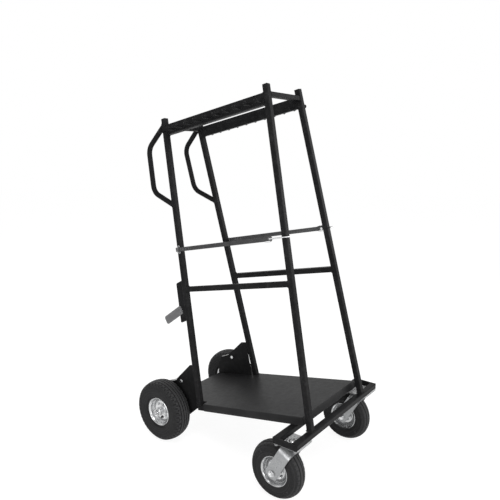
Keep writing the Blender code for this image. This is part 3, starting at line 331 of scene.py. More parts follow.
def make_materials():
    return {
        "frame_paint": paint("frame_powder_coat", (0.0088, 0.0088, 0.0093),
                             (0.0146, 0.0146, 0.0151), 0.36),
        # The deck's edges are lightened strongly: partly rubbed paint and partly a painted
        # highlight along its folded edges.
        "deck_paint": paint("deck_powder_coat", (0.0115, 0.0115, 0.012),
                            (0.0190, 0.0190, 0.0195), 0.44, 0.11, 0.9, 0.5, 6.0),
        "tab_paint": paint("tab_enamel", (0.125, 0.125, 0.128), (0.155, 0.155, 0.158),
                           0.42, 0.3, 0.4),
        "zinc": zinc("zinc_plating", (0.28, 0.285, 0.29), (0.35, 0.355, 0.36), 0.34, 0.0, 0.8),
        "plate_zinc": plate_finish(),
        # Painted highlight: a pale, nearly matt finish that makes the flange show as a bright
        # strip.
        "pale_flange_highlight": zinc("pale_flange_painted_highlight", (0.62, 0.62, 0.615), (0.74, 0.74, 0.735),
                          0.42, 0.0, 0.15),
        "bolt_zinc": zinc("bright_zinc_plating", (0.62, 0.625, 0.63), (0.78, 0.785, 0.79), 0.22),
        "axle_steel": zinc("drawn_axle_steel", (0.36, 0.36, 0.37), (0.48, 0.48, 0.49), 0.34, 0.5),
        "rim": rim_silver("rim_lacquer", (0.62, 0.625, 0.63), (0.69, 0.695, 0.70)),
        "caster_rim": rim_silver("caster_rim_lacquer", (0.47, 0.475, 0.48), (0.54, 0.545, 0.55)),
        "tyre": rubber("tyre_rubber", (0.0145, 0.0145, 0.015), (0.0215, 0.0215, 0.022),
                       0.60, 700, 0.13),
        "strap": rubber("strap_rubber", (0.034, 0.034, 0.035), (0.054, 0.054, 0.055),
                        0.55, 500, 0.2),
    }


# Meshes

def store(bm, mesh=None):
    mesh = mesh or bpy.data.meshes.new("piece")
    bm.to_mesh(mesh)
    bm.free()
    return mesh


def merged(mesh):
    """The mesh with its double points merged and its faces turned outward."""
    bm = bmesh.new()
    bm.from_mesh(mesh)
    bmesh.ops.remove_doubles(bm, verts=bm.verts, dist=MERGE)
    bmesh.ops.recalc_face_normals(bm, faces=bm.faces)
    return store(bm, mesh)


def joined(meshes):
    bm = bmesh.new()
    for mesh in meshes:
        bm.from_mesh(mesh)
    return store(bm)


def moved(mesh, matrix):
    mesh.transform(matrix)
    return mesh


def pointing(direction, place):
    turn = UP.rotation_difference(direction).to_matrix().to_4x4()
    return Matrix.Translation(place) @ turn


def stood(mesh, direction, place):
    """A mesh made about Z, set at a place with its Z along a direction."""
    return moved(mesh, pointing(direction, place))


def basis(x_axis, y_axis, z_axis, place):
    rows = Matrix((x_axis, y_axis, z_axis)).transposed()
    return Matrix.Translation(place) @ rows.to_4x4()


def piece(name, mesh, slot, body="frame", replaced=(), angle=35, look=None):
    """A finished object: smooth but for sharp edges, riding on a body, standing for CAD nodes."""
    mesh.name = name
    mesh.materials.clear()
    mesh.materials.append(materials[look or slot])
    mesh.shade_smooth()
    mesh.set_sharp_from_angle(angle=math.radians(angle))
    obj = bpy.data.objects.new(name, mesh)
    bpy.context.scene.collection.objects.link(obj)
    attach(obj, body)
    if replaced:
        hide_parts(*replaced)
    return obj


def loft(rings, closed=True, wrap=True):
    """A skin over rings of points; an open one gets a cap at each end."""
    count = len(rings[0])
    faces = []
    for step in range(len(rings) if closed else len(rings) - 1):
        here = step * count
        there = (step + 1) % len(rings) * count
        for index in range(count if wrap else count - 1):
            after = (index + 1) % count
            faces.append((here + index, there + index, there + after, here + after))
    if not closed:
        last = (len(rings) - 1) * count
        faces += [tuple(range(count)), tuple(range(last, last + count))]
    mesh = bpy.data.meshes.new("piece")
    mesh.from_pydata([tuple(point) for ring in rings for point in ring], [], faces)
    return merged(mesh)


def spun(profiles):
    """Rings about Z, one for each profile of (radius, height)."""
    angles = np.linspace(0, 2 * math.pi, len(profiles), endpoint=False)
    return [[(r * math.cos(a), r * math.sin(a), h) for r, h in profile]
            for a, profile in zip(angles, profiles)]


def revolve(profile, steps):
    """A ring-like solid about Z from a closed loop of (radius, height)."""
    return loft(spun([profile] * steps))


def turned(profile, steps):
    """A solid turned about Z whose profile starts and ends on the axis."""
    return loft(spun([profile] * steps), wrap=False)


def arc(before, here, after, radius, steps):
    """Points round the corner at here."""
    back = (before - here).normalized()
    ahead = (after - here).normalized()
    half = back.angle(ahead) / 2
    start = here + back * (radius / math.tan(half))
    end = here + ahead * (radius / math.tan(half))
    centre = here + (back + ahead).normalized() * (radius / math.sin(half))
    normal = (start - centre).cross(end - centre).normalized()
    turn = (start - centre).angle(end - centre)
    return [centre + Matrix.Rotation(turn * step / steps, 3, normal) @ (start - centre)
            for step in range(steps + 1)]


def bent_path(points, radius, steps):
    path = [points[0]]
    for before, here, after in zip(points, points[1:], points[2:]):
        path += arc(before, here, after, radius, steps)
    return path + [points[-1]]


def rounded(corners, steps=4):
    """Closed flat outline through corners given as (x, y, radius)."""
    places = [Vector((*corner[:2], 0)) for corner in corners]
    outline = []
    for index, here in enumerate(places):
        after = places[(index + 1) % len(places)]
        outline += arc(places[index - 1], here, after, corners[index][2], steps)
    return [point.to_2d() for point in outline]


def mirrored(corners, steps):
    """Outline from the corners on its +Y side, which the other side repeats."""
    return rounded([(x, -y, radius) for x, y, radius in corners] + corners[::-1], steps)


def block(half, low, high, radius, steps=4):
    """Outline of a rectangle with rounded corners."""
    return rounded([(-half, low, radius), (half, low, radius),
                    (half, high, radius), (-half, high, radius)], steps)


def circle(x, y, radius):
    angles = np.linspace(0, 2 * math.pi, 32, endpoint=False)
    return [Vector((x + radius * math.cos(a), y + radius * math.sin(a))) for a in angles]


def plate(loops, thickness, edge, segments=2):
    """A plate about z = 0 with rounded edges; the first loop is the outline, others are holes."""
    data = bpy.data.curves.new("outline", "CURVE")
    data.dimensions = "2D"
    data.fill_mode = "BOTH"
    data.extrude = thickness / 2 - edge
    data.bevel_depth = edge
    data.bevel_resolution = segments
    data.offset = -edge
    for loop in loops:
        spline = data.splines.new("POLY")
        spline.points.add(len(loop) - 1)
        for point, place in zip(spline.points, loop):
            point.co = (place[0], place[1], 0, 1)
        spline.use_cyclic_u = True
    obj = bpy.data.objects.new("curve", data)
    bpy.context.scene.collection.objects.link(obj)
    bpy.context.view_layer.update()
    graph = bpy.context.evaluated_depsgraph_get()
    mesh = bpy.data.meshes.new_from_object(obj.evaluated_get(graph))
    bpy.data.objects.remove(obj, do_unlink=True)
    bpy.data.curves.remove(data)
    return merged(mesh)


def sweep(path, radii, sides, closed=False):
    """A round bar along a path; radii is one number or one for each point."""
    radii = [radii] * len(path) if isinstance(radii, float) else radii
    first, last = (path[-1], path[0]) if closed else (path[0], path[-1])
    padded = [first, *path, last]
    tangents = [(after - before).normalized() for before, after in zip(padded, padded[2:])]
    up = tangents[0].orthogonal().normalized()
    rings = []
    for index, (place, tangent, radius) in enumerate(zip(path, tangents, radii)):
        if index:
            up = tangents[index - 1].rotation_difference(tangent) @ up
        side = tangent.cross(up).normalized()
        rings.append([place + (up * math.cos(a) + side * math.sin(a)) * radius
                      for a in np.linspace(0, 2 * math.pi, sides, endpoint=False)])
    return loft(rings, closed)


def bead(points, radius, closed=True):
    """A rippled weld bead through the points."""
    pitch = 0.0026
    corners = points + [points[0]] if closed else points
    path = []
    for start, end in zip(corners, corners[1:]):
        count = max(2, int((end - start).length / (pitch / 4)))
        path += [start.lerp(end, step / count) for step in range(count)]
    if not closed:
        path.append(corners[-1])
    radii = []
    length = 0.0
    for index, place in enumerate(path):
        if index:
            length += (place - path[index - 1]).length
        ripple = math.sin(math.pi * (length % pitch / pitch))
        radii.append(radius * (0.80 + 0.24 * ripple + 0.05 * math.sin(length * 190)))
    return sweep(path, radii, 8, closed)


def bead_round(place, x_axis, y_axis, width, height, radius=0.0021):
    """A weld bead round a rectangle."""
    return bead([place + x_axis * (width / 2 * x) + y_axis * (height / 2 * y)
                 for x, y in ((-1, -1), (1, -1), (1, 1), (-1, 1))], radius)


def welds(name, beads):
    piece(name, joined(beads), "frame_paint", angle=50)


def ring_path(place, normal, radius, steps):
    first = normal.orthogonal().normalized()
    return [place + Matrix.Rotation(2 * math.pi * k / steps, 3, normal) @ first * radius
            for k in range(steps)]


def washer(bore, radius, height, steps, rim=0.0002):
    """A washer about Z from zero up, a little wider at its outer face."""
    return revolve([(bore, 0), (radius, 0), (radius + rim, height), (bore, height)], steps)


def hex_nut(flats, height, bore=0.0):
    """A chamfered hexagon about Z from zero up."""
    inner = max(bore, 0.0002)
    chamfered = 0.90 * flats / math.sqrt(3)
    profiles = []
    for angle in np.linspace(0, 2 * math.pi, 36, endpoint=False):
        sector = (angle + math.pi / 6) % (math.pi / 3) - math.pi / 6
        flat = flats / 2 / math.cos(sector)
        end = min(flat, chamfered)
        profiles.append([(end, 0), (flat, height * 0.16), (flat, height * 0.84), (end, height),
                         (inner, height), (inner, 0)])
    return loft(spun(profiles))


def threaded(radius, length, pitch=0.00125, tip=0.0006):
    """A threaded bar about Z from zero up, as close rings."""
    profile = [(0, 0), (radius * 0.86, 0)]
    count = max(2, int(length / pitch))
    step = (length - tip) / count
    for index in range(count):
        profile.append((radius * 0.87, index * step + step * 0.1))
        profile.append((radius, index * step + step * 0.55))
    profile += [(radius * 0.87, length - tip), (radius * 0.72, length), (0, length)]
    return turned(profile, 20)


# Places on the side frames

def post_direction(side):
    return Vector((-math.tan(POST_LEAN), -side * math.tan(SIDE_LEAN), 1)).normalized()


def side_base(side):
    return at(BASE_X, side * BASE_Y, FRAME_TOP)


def side_place(side, x, z):
    """The place at x and z in the leaning plane of a side frame."""
    base = side_base(side)
    rise = post_direction(side)
    slope = math.tan(DECK_SLOPE)
    lift = (z - base.z - (x - base.x) * slope) / (rise.z - rise.x * slope)
    return Vector((x, base.y + lift * rise.y, z))


def outward(side):
    normal = FORWARD.cross(post_direction(side)).normalized()
    return normal if normal.y * side > 0 else -normal


def rearward(side):
    rise = post_direction(side)
    return -(FORWARD - rise * FORWARD.dot(rise)).normalized()


def deck_corner():
    """The lower rear end of the deck's wide part, which lies on the level frame's corner."""
    centre = at(FRAME_REAR + TUBE_CORNER, 0, FRAME_TOP - TUBE_CORNER)
    touch = centre + DECK_NORMAL * (TUBE_CORNER + GAP)
    top_front = DECK_FRONT + AXLE_X - (touch + DECK_NORMAL * DECK_THICKNESS).x
    return touch + FORWARD * (top_front / FORWARD.x - DECK_LENGTH)


def deck_place(along, across, height):
    return deck_corner() + FORWARD * along + ACROSS * across + DECK_NORMAL * height


def rear_base(side):
    seat = deck_place(POST / 2 + 0.002, 0, DECK_THICKNESS - BOARD)
    return side_place(side, seat.x, seat.z)


def on_post(base, side, z):
    rise = post_direction(side)
    return base + rise * ((z - base.z) / rise.z)


def post_crossing(base, side, reference):
    """Where a line parallel to the deck, at a height over the front foot, meets a post."""
    rise = post_direction(side)
    slope = math.tan(DECK_SLOPE)
    height = reference - (BASE_X + AXLE_X - base.x) * slope
    return base + rise * ((height - base.z) / (rise.z - rise.x * slope))


# Deck

def make_deck():
    """A folded sheet: one top whose edges turn down over the side rails, with a hem on the tail."""
    skin = 0.0012
    reach = DECK_HALF_WIDTH + skin
    front = DECK_LENGTH + skin
    notch = 0.032
    inner = 0.1706
    bend = 0.0022
    bend_steps = 4
    outline = mirrored([(-DECK_TAIL, inner, 0.006), (notch, inner, 0.002),
                        (notch, reach, 0.004), (front, reach, 0.005)], 5)
    count = len(outline)
    inward = []
    for index, point in enumerate(outline):
        before = (point - outline[index - 1]).normalized()
        after = (outline[(index + 1) % count] - point).normalized()
        first = Vector((-before.y, before.x))
        second = Vector((-after.y, after.x))
        mitre = (first + second).normalized()
        inward.append(mitre / max(0.5, mitre.dot(first)))

    def depth(point):
        if point.x > notch + 0.001 and abs(point.y) > inner + 0.01:
            return DECK_THICKNESS
        return 0.011 if point.x < -DECK_TAIL + 0.003 else BOARD

    # Each ring is (inset, drop, whether the drop is measured from the lower edge).
    # The rings close to a bend or an edge keep the large faces flat.
    fold = [(bend + 0.0008, 0, False)]
    for step in range(bend_steps + 1):
        angle = math.pi / 2 * step / bend_steps
        fold.append((bend * (1 - math.sin(angle)), bend * (1 - math.cos(angle)), False))
    fold += [(0, bend + 0.0006, False), (0, 0.0008, True), (0, 0, True)]
    bm = bmesh.new()
    rings = []
    for inset, drop, from_edge in fold:
        ring = []
        for point, push in zip(outline, inward):
            place = point + push * inset
            down = depth(point) - drop if from_edge else drop
            ring.append(bm.verts.new((place.x, place.y, -down)))
        rings.append(ring)
    bm.faces.new(rings[0])
    for first, second in zip(rings, rings[1:]):
        for index in range(count):
            after = (index + 1) % count
            bm.faces.new((first[index], first[after], second[after], second[index]))
    bmesh.ops.recalc_face_normals(bm, faces=bm.faces)
    place = basis(FORWARD, ACROSS, DECK_NORMAL, deck_place(0, 0, DECK_THICKNESS))
    deck = piece("deck_skin", moved(store(bm), place), "deck_paint", replaced=["deck_board"])
    solid = deck.modifiers.new("sheet", "SOLIDIFY")
    solid.thickness = skin
    solid.offset = -1


# Weld beads

def make_welds():
    beads = {"post_foot": [], "rail": [], "crossbar": [], "level_frame": []}
    tall = Vector((-math.tan(POST_LEAN), 0, 1)).normalized()
    for side in SIDES.values():
        rise = post_direction(side)
        back = rearward(side)
        out = outward(side)
        base = side_base(side)
        rear = rear_base(side)
        wide = POST + 0.001
        beads["post_foot"] += [
            bead_round(base + UP * 0.0006, Vector((1, 0, 0)), ACROSS,
                       POST / math.cos(POST_LEAN) + 0.001, wide),
            bead_round(rear + DECK_NORMAL * 0.0005, FORWARD, ACROSS, wide, wide)]
        for reference, height in ((TOP_RAIL_Z, TOP_RAIL_HEIGHT), (LOW_RAIL_Z, POST)):
            for post_base, sign in ((base, 1), (rear, -1)):
                crossing = post_crossing(post_base, side, reference)
                face = crossing + back * (sign * (POST / 2 + 0.0004))
                beads["rail"].append(bead_round(face, out, rise, POST - 0.002, height))
        stub = on_post(base, side, POST_TOP_Z) - post_crossing(base, side, TOP_RAIL_Z)
        for post_base in (base, rear):
            top = post_crossing(post_base, side, TOP_RAIL_Z) + rise * stub.length
            face = top - rise * CROSSBAR_DROP - out * (POST / 2 + 0.0002)
            beads["crossbar"].append(
                bead_round(face, tall.cross(ACROSS), tall, CROSSBAR, CROSSBAR, 0.0018))

        end = side * (FRAME_HALF_WIDTH - 0.006)
        runs = []
        for low, high in ((FRAME_REAR + 0.002, SLOT_REAR), (SLOT_FRONT, FRAME_FRONT - 0.002)):
            for level in (FRAME_TOP, FRAME_BOTTOM):
                runs.append((at(low, end, level), at(high, end, level), 0.0011))
        for x in (SLOT_REAR + 0.0023, SLOT_FRONT - 0.0023):
            runs.append((at(x, end, FRAME_TOP - 0.002), at(x, end, FRAME_BOTTOM + 0.002), 0.0016))
        start = at(FRAME_REAR + 0.004, side * (DECK_HALF_WIDTH + 0.0006), FRAME_TOP + 0.0006)
        runs.append((start, start + Vector((0.020, 0, 0.0012)), 0.0016))
        beads["level_frame"] += [bead([first, last], size, False) for first, last, size in runs]
    for name, shapes in beads.items():
        welds(name + "_welds", shapes)


# Pegs, handles

def make_pegs():
    spaces = 10
    pitch = 0.050
    drop = 0.011
    strip = 0.004
    strip_half = 0.258
    peg = [(0, 0.001), (0.0078, 0.001), (0.0080, 0.0046), (0.0068, 0.0066), (0.0052, 0.0074),
           (0.0050, 0.010), (0.0050, 0.0385), (0.0056, 0.0392), (0.0072, 0.0405),
           (0.0076, 0.0425), (0.0072, 0.0445), (0.0058, 0.0457), (0.0030, 0.046), (0, 0.046)]
    for name, side in SIDES.items():
        out = outward(side)
        front = post_crossing(side_base(side), side, TOP_RAIL_Z)
        rear = post_crossing(rear_base(side), side, TOP_RAIL_Z)
        centre = (front + rear) / 2 - post_direction(side) * drop + out * (POST / 2 + GAP)
        place = basis(FORWARD, out.cross(FORWARD), out, centre + out * (strip / 2))
        parts = [moved(plate([block(strip_half, -0.010, 0.010, 0.003)], strip, 0.0007), place)]
        for index in range(spaces + 1):
            along = FORWARD * ((index - spaces / 2) * pitch)
            parts.append(stood(turned(peg, 24), out, centre + along))
        piece("pegs_" + name, joined(parts), "frame_paint", replaced=["peg_comb_" + name])


def make_handles():
    spread = 0.335 / 2
    grip = 0.190 / 2
    reach = 0.118
    sides = 28
    for name, side in SIDES.items():
        rise = post_direction(side)
        back = rearward(side)
        centre = on_post(rear_base(side), side, HANDLE_Z)
        face = centre + back * (POST / 2 - 0.001)
        points = [face + rise * spread, centre + back * reach + rise * grip,
                  centre + back * reach - rise * grip, face - rise * spread]
        tube = sweep(bent_path(points, 0.055, 18), 0.011, sides)
        piece("handle_tube_" + name, tube, "frame_paint", replaced=["push_handle_" + name])
        rings = []
        for end, inner in ((points[0], points[1]), (points[3], points[2])):
            leg = (inner - end).normalized()
            start = end + leg * (0.001 / leg.dot(back))
            spokes = ring_path(Vector((0, 0, 0)), leg, 0.0112, sides)
            rings.append(bead([start + spoke - leg * (spoke.dot(back) / leg.dot(back))
                               for spoke in spokes], 0.0020))
        welds("handle_welds_" + name, rings)


# Wheels

def tyre(wheel):
    """A pneumatic tyre about Z with grooves that sway, shoulder notches and moulded rings."""
    radius, lip, crown, rim_half = wheel.radius, wheel.lip, wheel.crown, wheel.rim_half
    half = wheel.width / 2
    shoulder = half * 0.74
    samples = 8
    mid = (radius + lip) / 2
    wall = [
        (lip + 0.0012, rim_half * 0.985), (lip + 0.0040, rim_half * 1.04),
        (lip + 0.0052, rim_half * 1.02 + 0.0012), (lip + 0.0085, half * 0.90),
        (mid - 0.012, half * 0.965), (mid - 0.003, half * 0.998), (mid + 0.006, half),
        (radius - 0.022, half * 0.985), (radius - 0.016, half * 0.955),
        (radius - 0.010 - crown * 0.55, half * 0.905), (radius - 0.004 - crown, half * 0.835),
        (radius - crown, shoulder)]
    bars = (radius - 0.0298, radius - 0.0212)
    rises = [(bars[0] - 0.0007, 0), (bars[0], 0), (bars[1], 0), (bars[1] + 0.0007, 0)]
    for share in (0.30, 0.42, 0.60):
        ring = lip + (radius - lip) * share
        rises += [(ring - 0.0011, 0), (ring - 0.0005, 0.0007), (ring + 0.0005, 0.0007),
                  (ring + 0.0011, 0)]
    radii, heights = zip(*sorted(wall))
    wall = sorted(wall + [(r, float(np.interp(r, radii, heights)) + h) for r, h in rises])
    tread = [(-shoulder * 0.93, 0, 0), (shoulder * 0.93, 0, 0)]
    for index in range(wheel.grooves):
        centre = shoulder * 0.80 * (2 * (index + 0.5) / wheel.grooves - 1)
        tread += [(centre - 0.0021, 0, 1), (centre - 0.0013, wheel.depth, 1),
                  (centre + 0.0013, wheel.depth, 1), (centre + 0.0021, 0, 1)]
    tread.sort()

    def wall_row(side, notch, bar):
        row = []
        for r, h in wall:
            fall = notch * min(1, max(0, (r - radius + 0.0185) / 0.010))
            height = h - fall * 0.75 + (bar if r in bars else 0.0)
            row.append((r - fall * 0.85, side * height))
        return row

    rows = []
    for step in range(wheel.lugs * samples):
        phase = step % samples
        wave = (abs(phase - samples / 2) / (samples / 2) * 2 - 1) * wheel.sway
        notch = wheel.notch if phase in (0, 1) else 0.0
        top = []
        for h, fall, moves in tread:
            level = radius - crown * abs(h / shoulder) ** 2 - fall
            if abs(h) > shoulder * 0.85:
                level -= notch * 0.85
            top.append((level, h + wave * moves))
        lower = wall_row(-1, notch, 0.0022 if phase in (3, 4) else 0.0)
        upper = wall_row(1, wheel.notch if phase in (4, 5) else 0.0,
                         0.0022 if phase in (0, 7) else 0.0)
        rows.append(lower + top + upper[::-1])
    return loft(spun(rows))


def rim_shell(wheel):
    """A pressed wheel: rolled lips, stepped barrel and a domed dish on each side."""
    lip, half, hub_radius = wheel.lip, wheel.rim_half, wheel.hub_radius
    dish = ((-0.0005, 0.0050), (0.0022, 0.0052), (0.0050, 0.0064), (0.0085, 0.0082),
            (0.0120, 0.0102))
    bowl = ((-0.0235, 0.0122), (-0.0205, 0.0120), (-0.0185, 0.0098), (-0.0168, 0.0052),
            (-0.0150, 0.0034), (-0.0132, 0.0042), (-0.0121, 0.0066))
    barrel = ((-0.0114, 0.40), (-0.0104, 0.46), (-0.0086, 0.48), (-0.0077, 0.53),
              (-0.0068, 0.78), (-0.0054, 0.88), (-0.0036, 0.96))
    roll = ((-0.0024, 0.0008), (-0.0010, 0.0018), (0.0002, 0.0010), (0.0003, -0.0008),
            (-0.0006, -0.0022), (-0.0030, -0.0028))
    seat = ((-0.0052, 0.80), (-0.0070, 0.60), (-0.0100, 0.50))
    face = [(hub_radius + r, h) for r, h in dish] + [(lip + r, h) for r, h in bowl]
    face += [(lip + r, half * share) for r, share in barrel]
    face += [(lip + r, half + h) for r, h in roll]
    face += [(lip + r, half * share) for r, share in seat]
    return revolve(face + [(r, -h) for r, h in reversed(face)], 96)


def hub(wheel):
    """A hub tube with a bearing and its seal in each end."""
    radius, half, bore = wheel.hub_radius, wheel.hub_half, wheel.bore
    end = [
        (radius, half * 0.62), (radius + 0.0007, half * 0.66), (radius + 0.0007, half - 0.0022),
        (radius - 0.0002, half - 0.0006), (radius - 0.0016, half), (radius - 0.0030, half),
        (radius - 0.0034, half - 0.0014), (bore + 0.0042, half - 0.0014),
        (bore + 0.0038, half - 0.0003), (bore + 0.0006, half)]
    return revolve(end + [(r, -h) for r, h in reversed(end)], 40)


def rim_bolts(radius, level, phase):
    """Four hex bolts that hold the two rim halves together."""
    count = 4
    nut_turn = 0.4
    flats = 0.0105
    under = 0.0009
    parts = []
    for index in range(count):
        angle = phase + 2 * math.pi * index / count
        place = Vector((radius * math.cos(angle), radius * math.sin(angle), level))
        spin = Matrix.Rotation(nut_turn * index, 4, "Z")
        shift = Matrix.Translation(place)
        nut = moved(hex_nut(flats, 0.0052, 0.0030), Matrix.Translation(UP * under) @ spin)
        parts += [moved(mesh, shift) for mesh in (
            washer(0.0035, flats * 0.60, under, 24, 0), nut, threaded(0.0032, 0.0088))]
    return joined(parts)


def valve():
    """A short tyre valve in its rubber collar, about Z."""
    return turned([(0, -0.002), (0.0058, -0.002), (0.0060, 0.0008), (0.0050, 0.0018),
                   (0.0041, 0.0024), (0.0039, 0.0062), (0.0034, 0.0070), (0.0018, 0.0071),
                   (0.0016, 0.0058), (0, 0.0058)], 24)


def make_wheels():
    dish_floor = 0.0106
    first_bolt = 0.80
    for name, side in SIDES.items():
        for kind, wheel in WHEELS.items():
            body = kind + "_wheel_" + name
            ring = (wheel.hub_radius + 0.0115 + wheel.lip - 0.0245) / 2
            turn = pointing(ACROSS * side, Vector(middle(kind + "_tyre_" + name)))
            piece(kind + "_tread_" + name, moved(tyre(wheel), turn), "tyre", body,
                  [kind + "_tyre_" + name], 28)
            piece(kind + "_wheel_rim_" + name, moved(rim_shell(wheel), turn), "rim", body,
                  [kind + "_rim_" + name], 50, wheel.look)
            piece(kind + "_hub_" + name, moved(hub(wheel), turn), "rim", body, (), 40, wheel.look)
            bolts = rim_bolts(ring, dish_floor, side * first_bolt)
            piece(kind + "_rim_bolts_" + name, moved(bolts, turn), "zinc", body, look="bolt_zinc")
            stem = moved(valve(), Matrix.Translation((0, side * ring, dish_floor)))
            piece(kind + "_valve_" + name, moved(stem, turn), "tyre", body)


def make_rear_axle():
    seat = REAR_TRACK + REAR_HUB_HALF + GAP
    reach = seat + AXLE_WASHER + AXLE_NUT + 2 * GAP + 0.004
    for name, side in SIDES.items():
        ring = revolve([(0.0085, 0), (0.0138, 0), (0.0140, 0.0004), (0.0140, 0.0021),
                        (0.0136, AXLE_WASHER), (0.0085, AXLE_WASHER)], 32)
        nut = moved(hex_nut(0.024, AXLE_NUT, 0.0085), Matrix.Translation(UP * AXLE_WASHER))
        lock = stood(joined([ring, nut]), ACROSS * side, at(0, side * seat, REAR_RADIUS))
        piece("axle_lock_nut_" + name, lock, "zinc", replaced=["axle_nut_" + name],
              look="bolt_zinc")
    bar = turned([(0, -reach), (0.0066, -reach), (0.0080, -reach + 0.0012),
                  (0.0080, reach - 0.0012), (0.0066, reach), (0, reach)], 32)
    piece("axle_bar", stood(bar, ACROSS, at(0, 0, REAR_RADIUS)), "axle_steel",
          replaced=["rear_axle"])
    for name, side in SIDES.items():
        place = at(0, side * (reach - 0.0140), REAR_RADIUS)
        tip = stood(threaded(0.0082, 0.0142), ACROSS * side, place)
        piece("axle_thread_" + name, tip, "axle_steel")


# Casters

def fork_strap(place):
    """The folded yoke: a bent strap whose legs end in rounded feet."""
    mid = FORK_INNER + FORK_SHEET / 2
    top = CASTER_RADIUS + 0.0045 + FORK_SHEET / 2
    half = 0.025
    corner = 0.017
    heel = corner - 0.021
    corner_steps = 6
    widths = 8
    line = bent_path([Vector((mid, heel, 0)), Vector((mid, top, 0)), Vector((-mid, top, 0)),
                      Vector((-mid, heel, 0))], 0.0235, 14)
    foot = []
    for step in range(corner_steps):
        angle = math.pi / 2 * step / corner_steps
        foot.append((heel - corner * math.cos(angle), half - corner + corner * math.sin(angle)))
    rows = [(mid, *row) for row in foot] + [(point.x, point.y, half) for point in line]
    rows += [(-mid, *row) for row in reversed(foot)]
    bm = bmesh.new()
    grid = []
    for across, level, reach in rows:
        centre = place + ACROSS * across + FORK_RISE * level
        grid.append([bm.verts.new(centre + FORK_ALONG * (reach * (2 * k / widths - 1)))
                     for k in range(widths + 1)])
    for first, second in zip(grid, grid[1:]):
        for k in range(widths):
            bm.faces.new((first[k], first[k + 1], second[k + 1], second[k]))
    bmesh.ops.recalc_face_normals(bm, faces=bm.faces)
    bmesh.ops.solidify(bm, geom=bm.faces, thickness=FORK_SHEET)
    bmesh.ops.recalc_face_normals(bm, faces=bm.faces)
    return store(bm)


def make_casters():
    down = Vector((0, 0, -1))
    plate_top = FRAME_BOTTOM - GAP
    plate_low = plate_top - CASTER_PLATE
    race_height = GAP + CASTER_RACE
    cup_top = plate_low - race_height - GAP
    for name, side in SIDES.items():
        swivel = "caster_swivel_" + name
        pin = at(KINGPIN_X, side * CASTER_Y, 0)
        centre = at(CASTER_X, side * CASTER_Y, CASTER_RADIUS)
        top = plate([block(0.054, -0.0487, 0.0487, 0.009, 6)], 0.0038, 0.0009, 3)
        top = stood(top, UP, pin + UP * (plate_top - 0.0019))
        piece("caster_top_" + name, top, "zinc", replaced=["caster_plate_" + name],
              look="plate_zinc")
        nuts = []
        for x in (-0.0395, 0.0395):
            for y in (-0.0424, 0.0424):
                stud = pin + Vector((x, y, plate_low))
                nuts += [stood(washer(0.0036, 0.0070, 0.0010, 28), down, stud),
                         stood(hex_nut(0.011, 0.0046, 0.0034), down, stud + down * 0.0010),
                         stood(threaded(0.0034, 0.0088), down, stud + down * -0.001)]
        piece("caster_nuts_" + name, joined(nuts), "zinc")

        raised = [revolve([(radius - 0.0014, -0.0006), (radius - 0.0011, 0.0006), (radius, 0.0010),
                           (radius + 0.0011, 0.0006), (radius + 0.0014, -0.0006)], 96)
                  for radius in (0.0205, 0.0315)]
        raised.append(turned([(0, 0.0056), (0.0050, 0.0053), (0.0090, 0.0042), (0.0118, 0.0024),
                              (0.0130, 0.0008), (0.0132, -0.0004), (0, -0.0004)], 40))
        raised = stood(joined(raised), UP, pin + UP * plate_top)
        piece("plate_race_" + name, raised, "zinc", look="bolt_zinc")
        race = revolve([(0.0080, 0), (0.0285, 0), (0.0300, -0.0010),
                        (0.0302, 0.0008 - race_height), (0.0292, -race_height),
                        (0.0080, -race_height)], 56)
        piece("kingpin_race_" + name, stood(race, UP, pin + UP * plate_low), "zinc",
              replaced=["kingpin_" + name])

        yoke = piece("caster_yoke_" + name, fork_strap(centre), "zinc", swivel,
                     ["caster_fork_" + name], 40)
        edge = yoke.modifiers.new("edge", "BEVEL")
        edge.width = 0.0009
        edge.segments = 2
        edge.limit_method = "ANGLE"
        edge.angle_limit = math.radians(50)
        cup = revolve([(0.0090, 0), (0.0262, 0), (0.0276, -0.0012), (0.0272, -0.0042),
                       (0.0225, -0.0068), (0.0205, -0.0160), (0.0090, -0.0160)], 56)
        piece("swivel_cup_" + name, stood(cup, UP, pin + UP * cup_top), "zinc", swivel)

        outer = FORK_INNER + FORK_SHEET
        parts = []
        for direction, tail in ((1, 0.0050), (-1, 0.0082)):
            out = ACROSS * direction
            spacer = washer(0.0060, 0.0098, FORK_INNER + 0.0001 - CASTER_HUB_HALF, 28, 0)
            parts += [stood(washer(0.0062, 0.0112, 0.0014, 32), out, centre + out * outer),
                      stood(hex_nut(0.017, 0.0060, 0.0055), out, centre + out * (outer + 0.0014)),
                      stood(threaded(0.0060, tail, 0.00115, 0.0009), out,
                            centre + out * (outer + 0.0036)),
                      stood(spacer, out, centre + out * CASTER_HUB_HALF)]
        piece("caster_bolt_" + name, joined(parts), "zinc", swivel, ["caster_axle_" + name],
              look="bolt_zinc")


# Straps

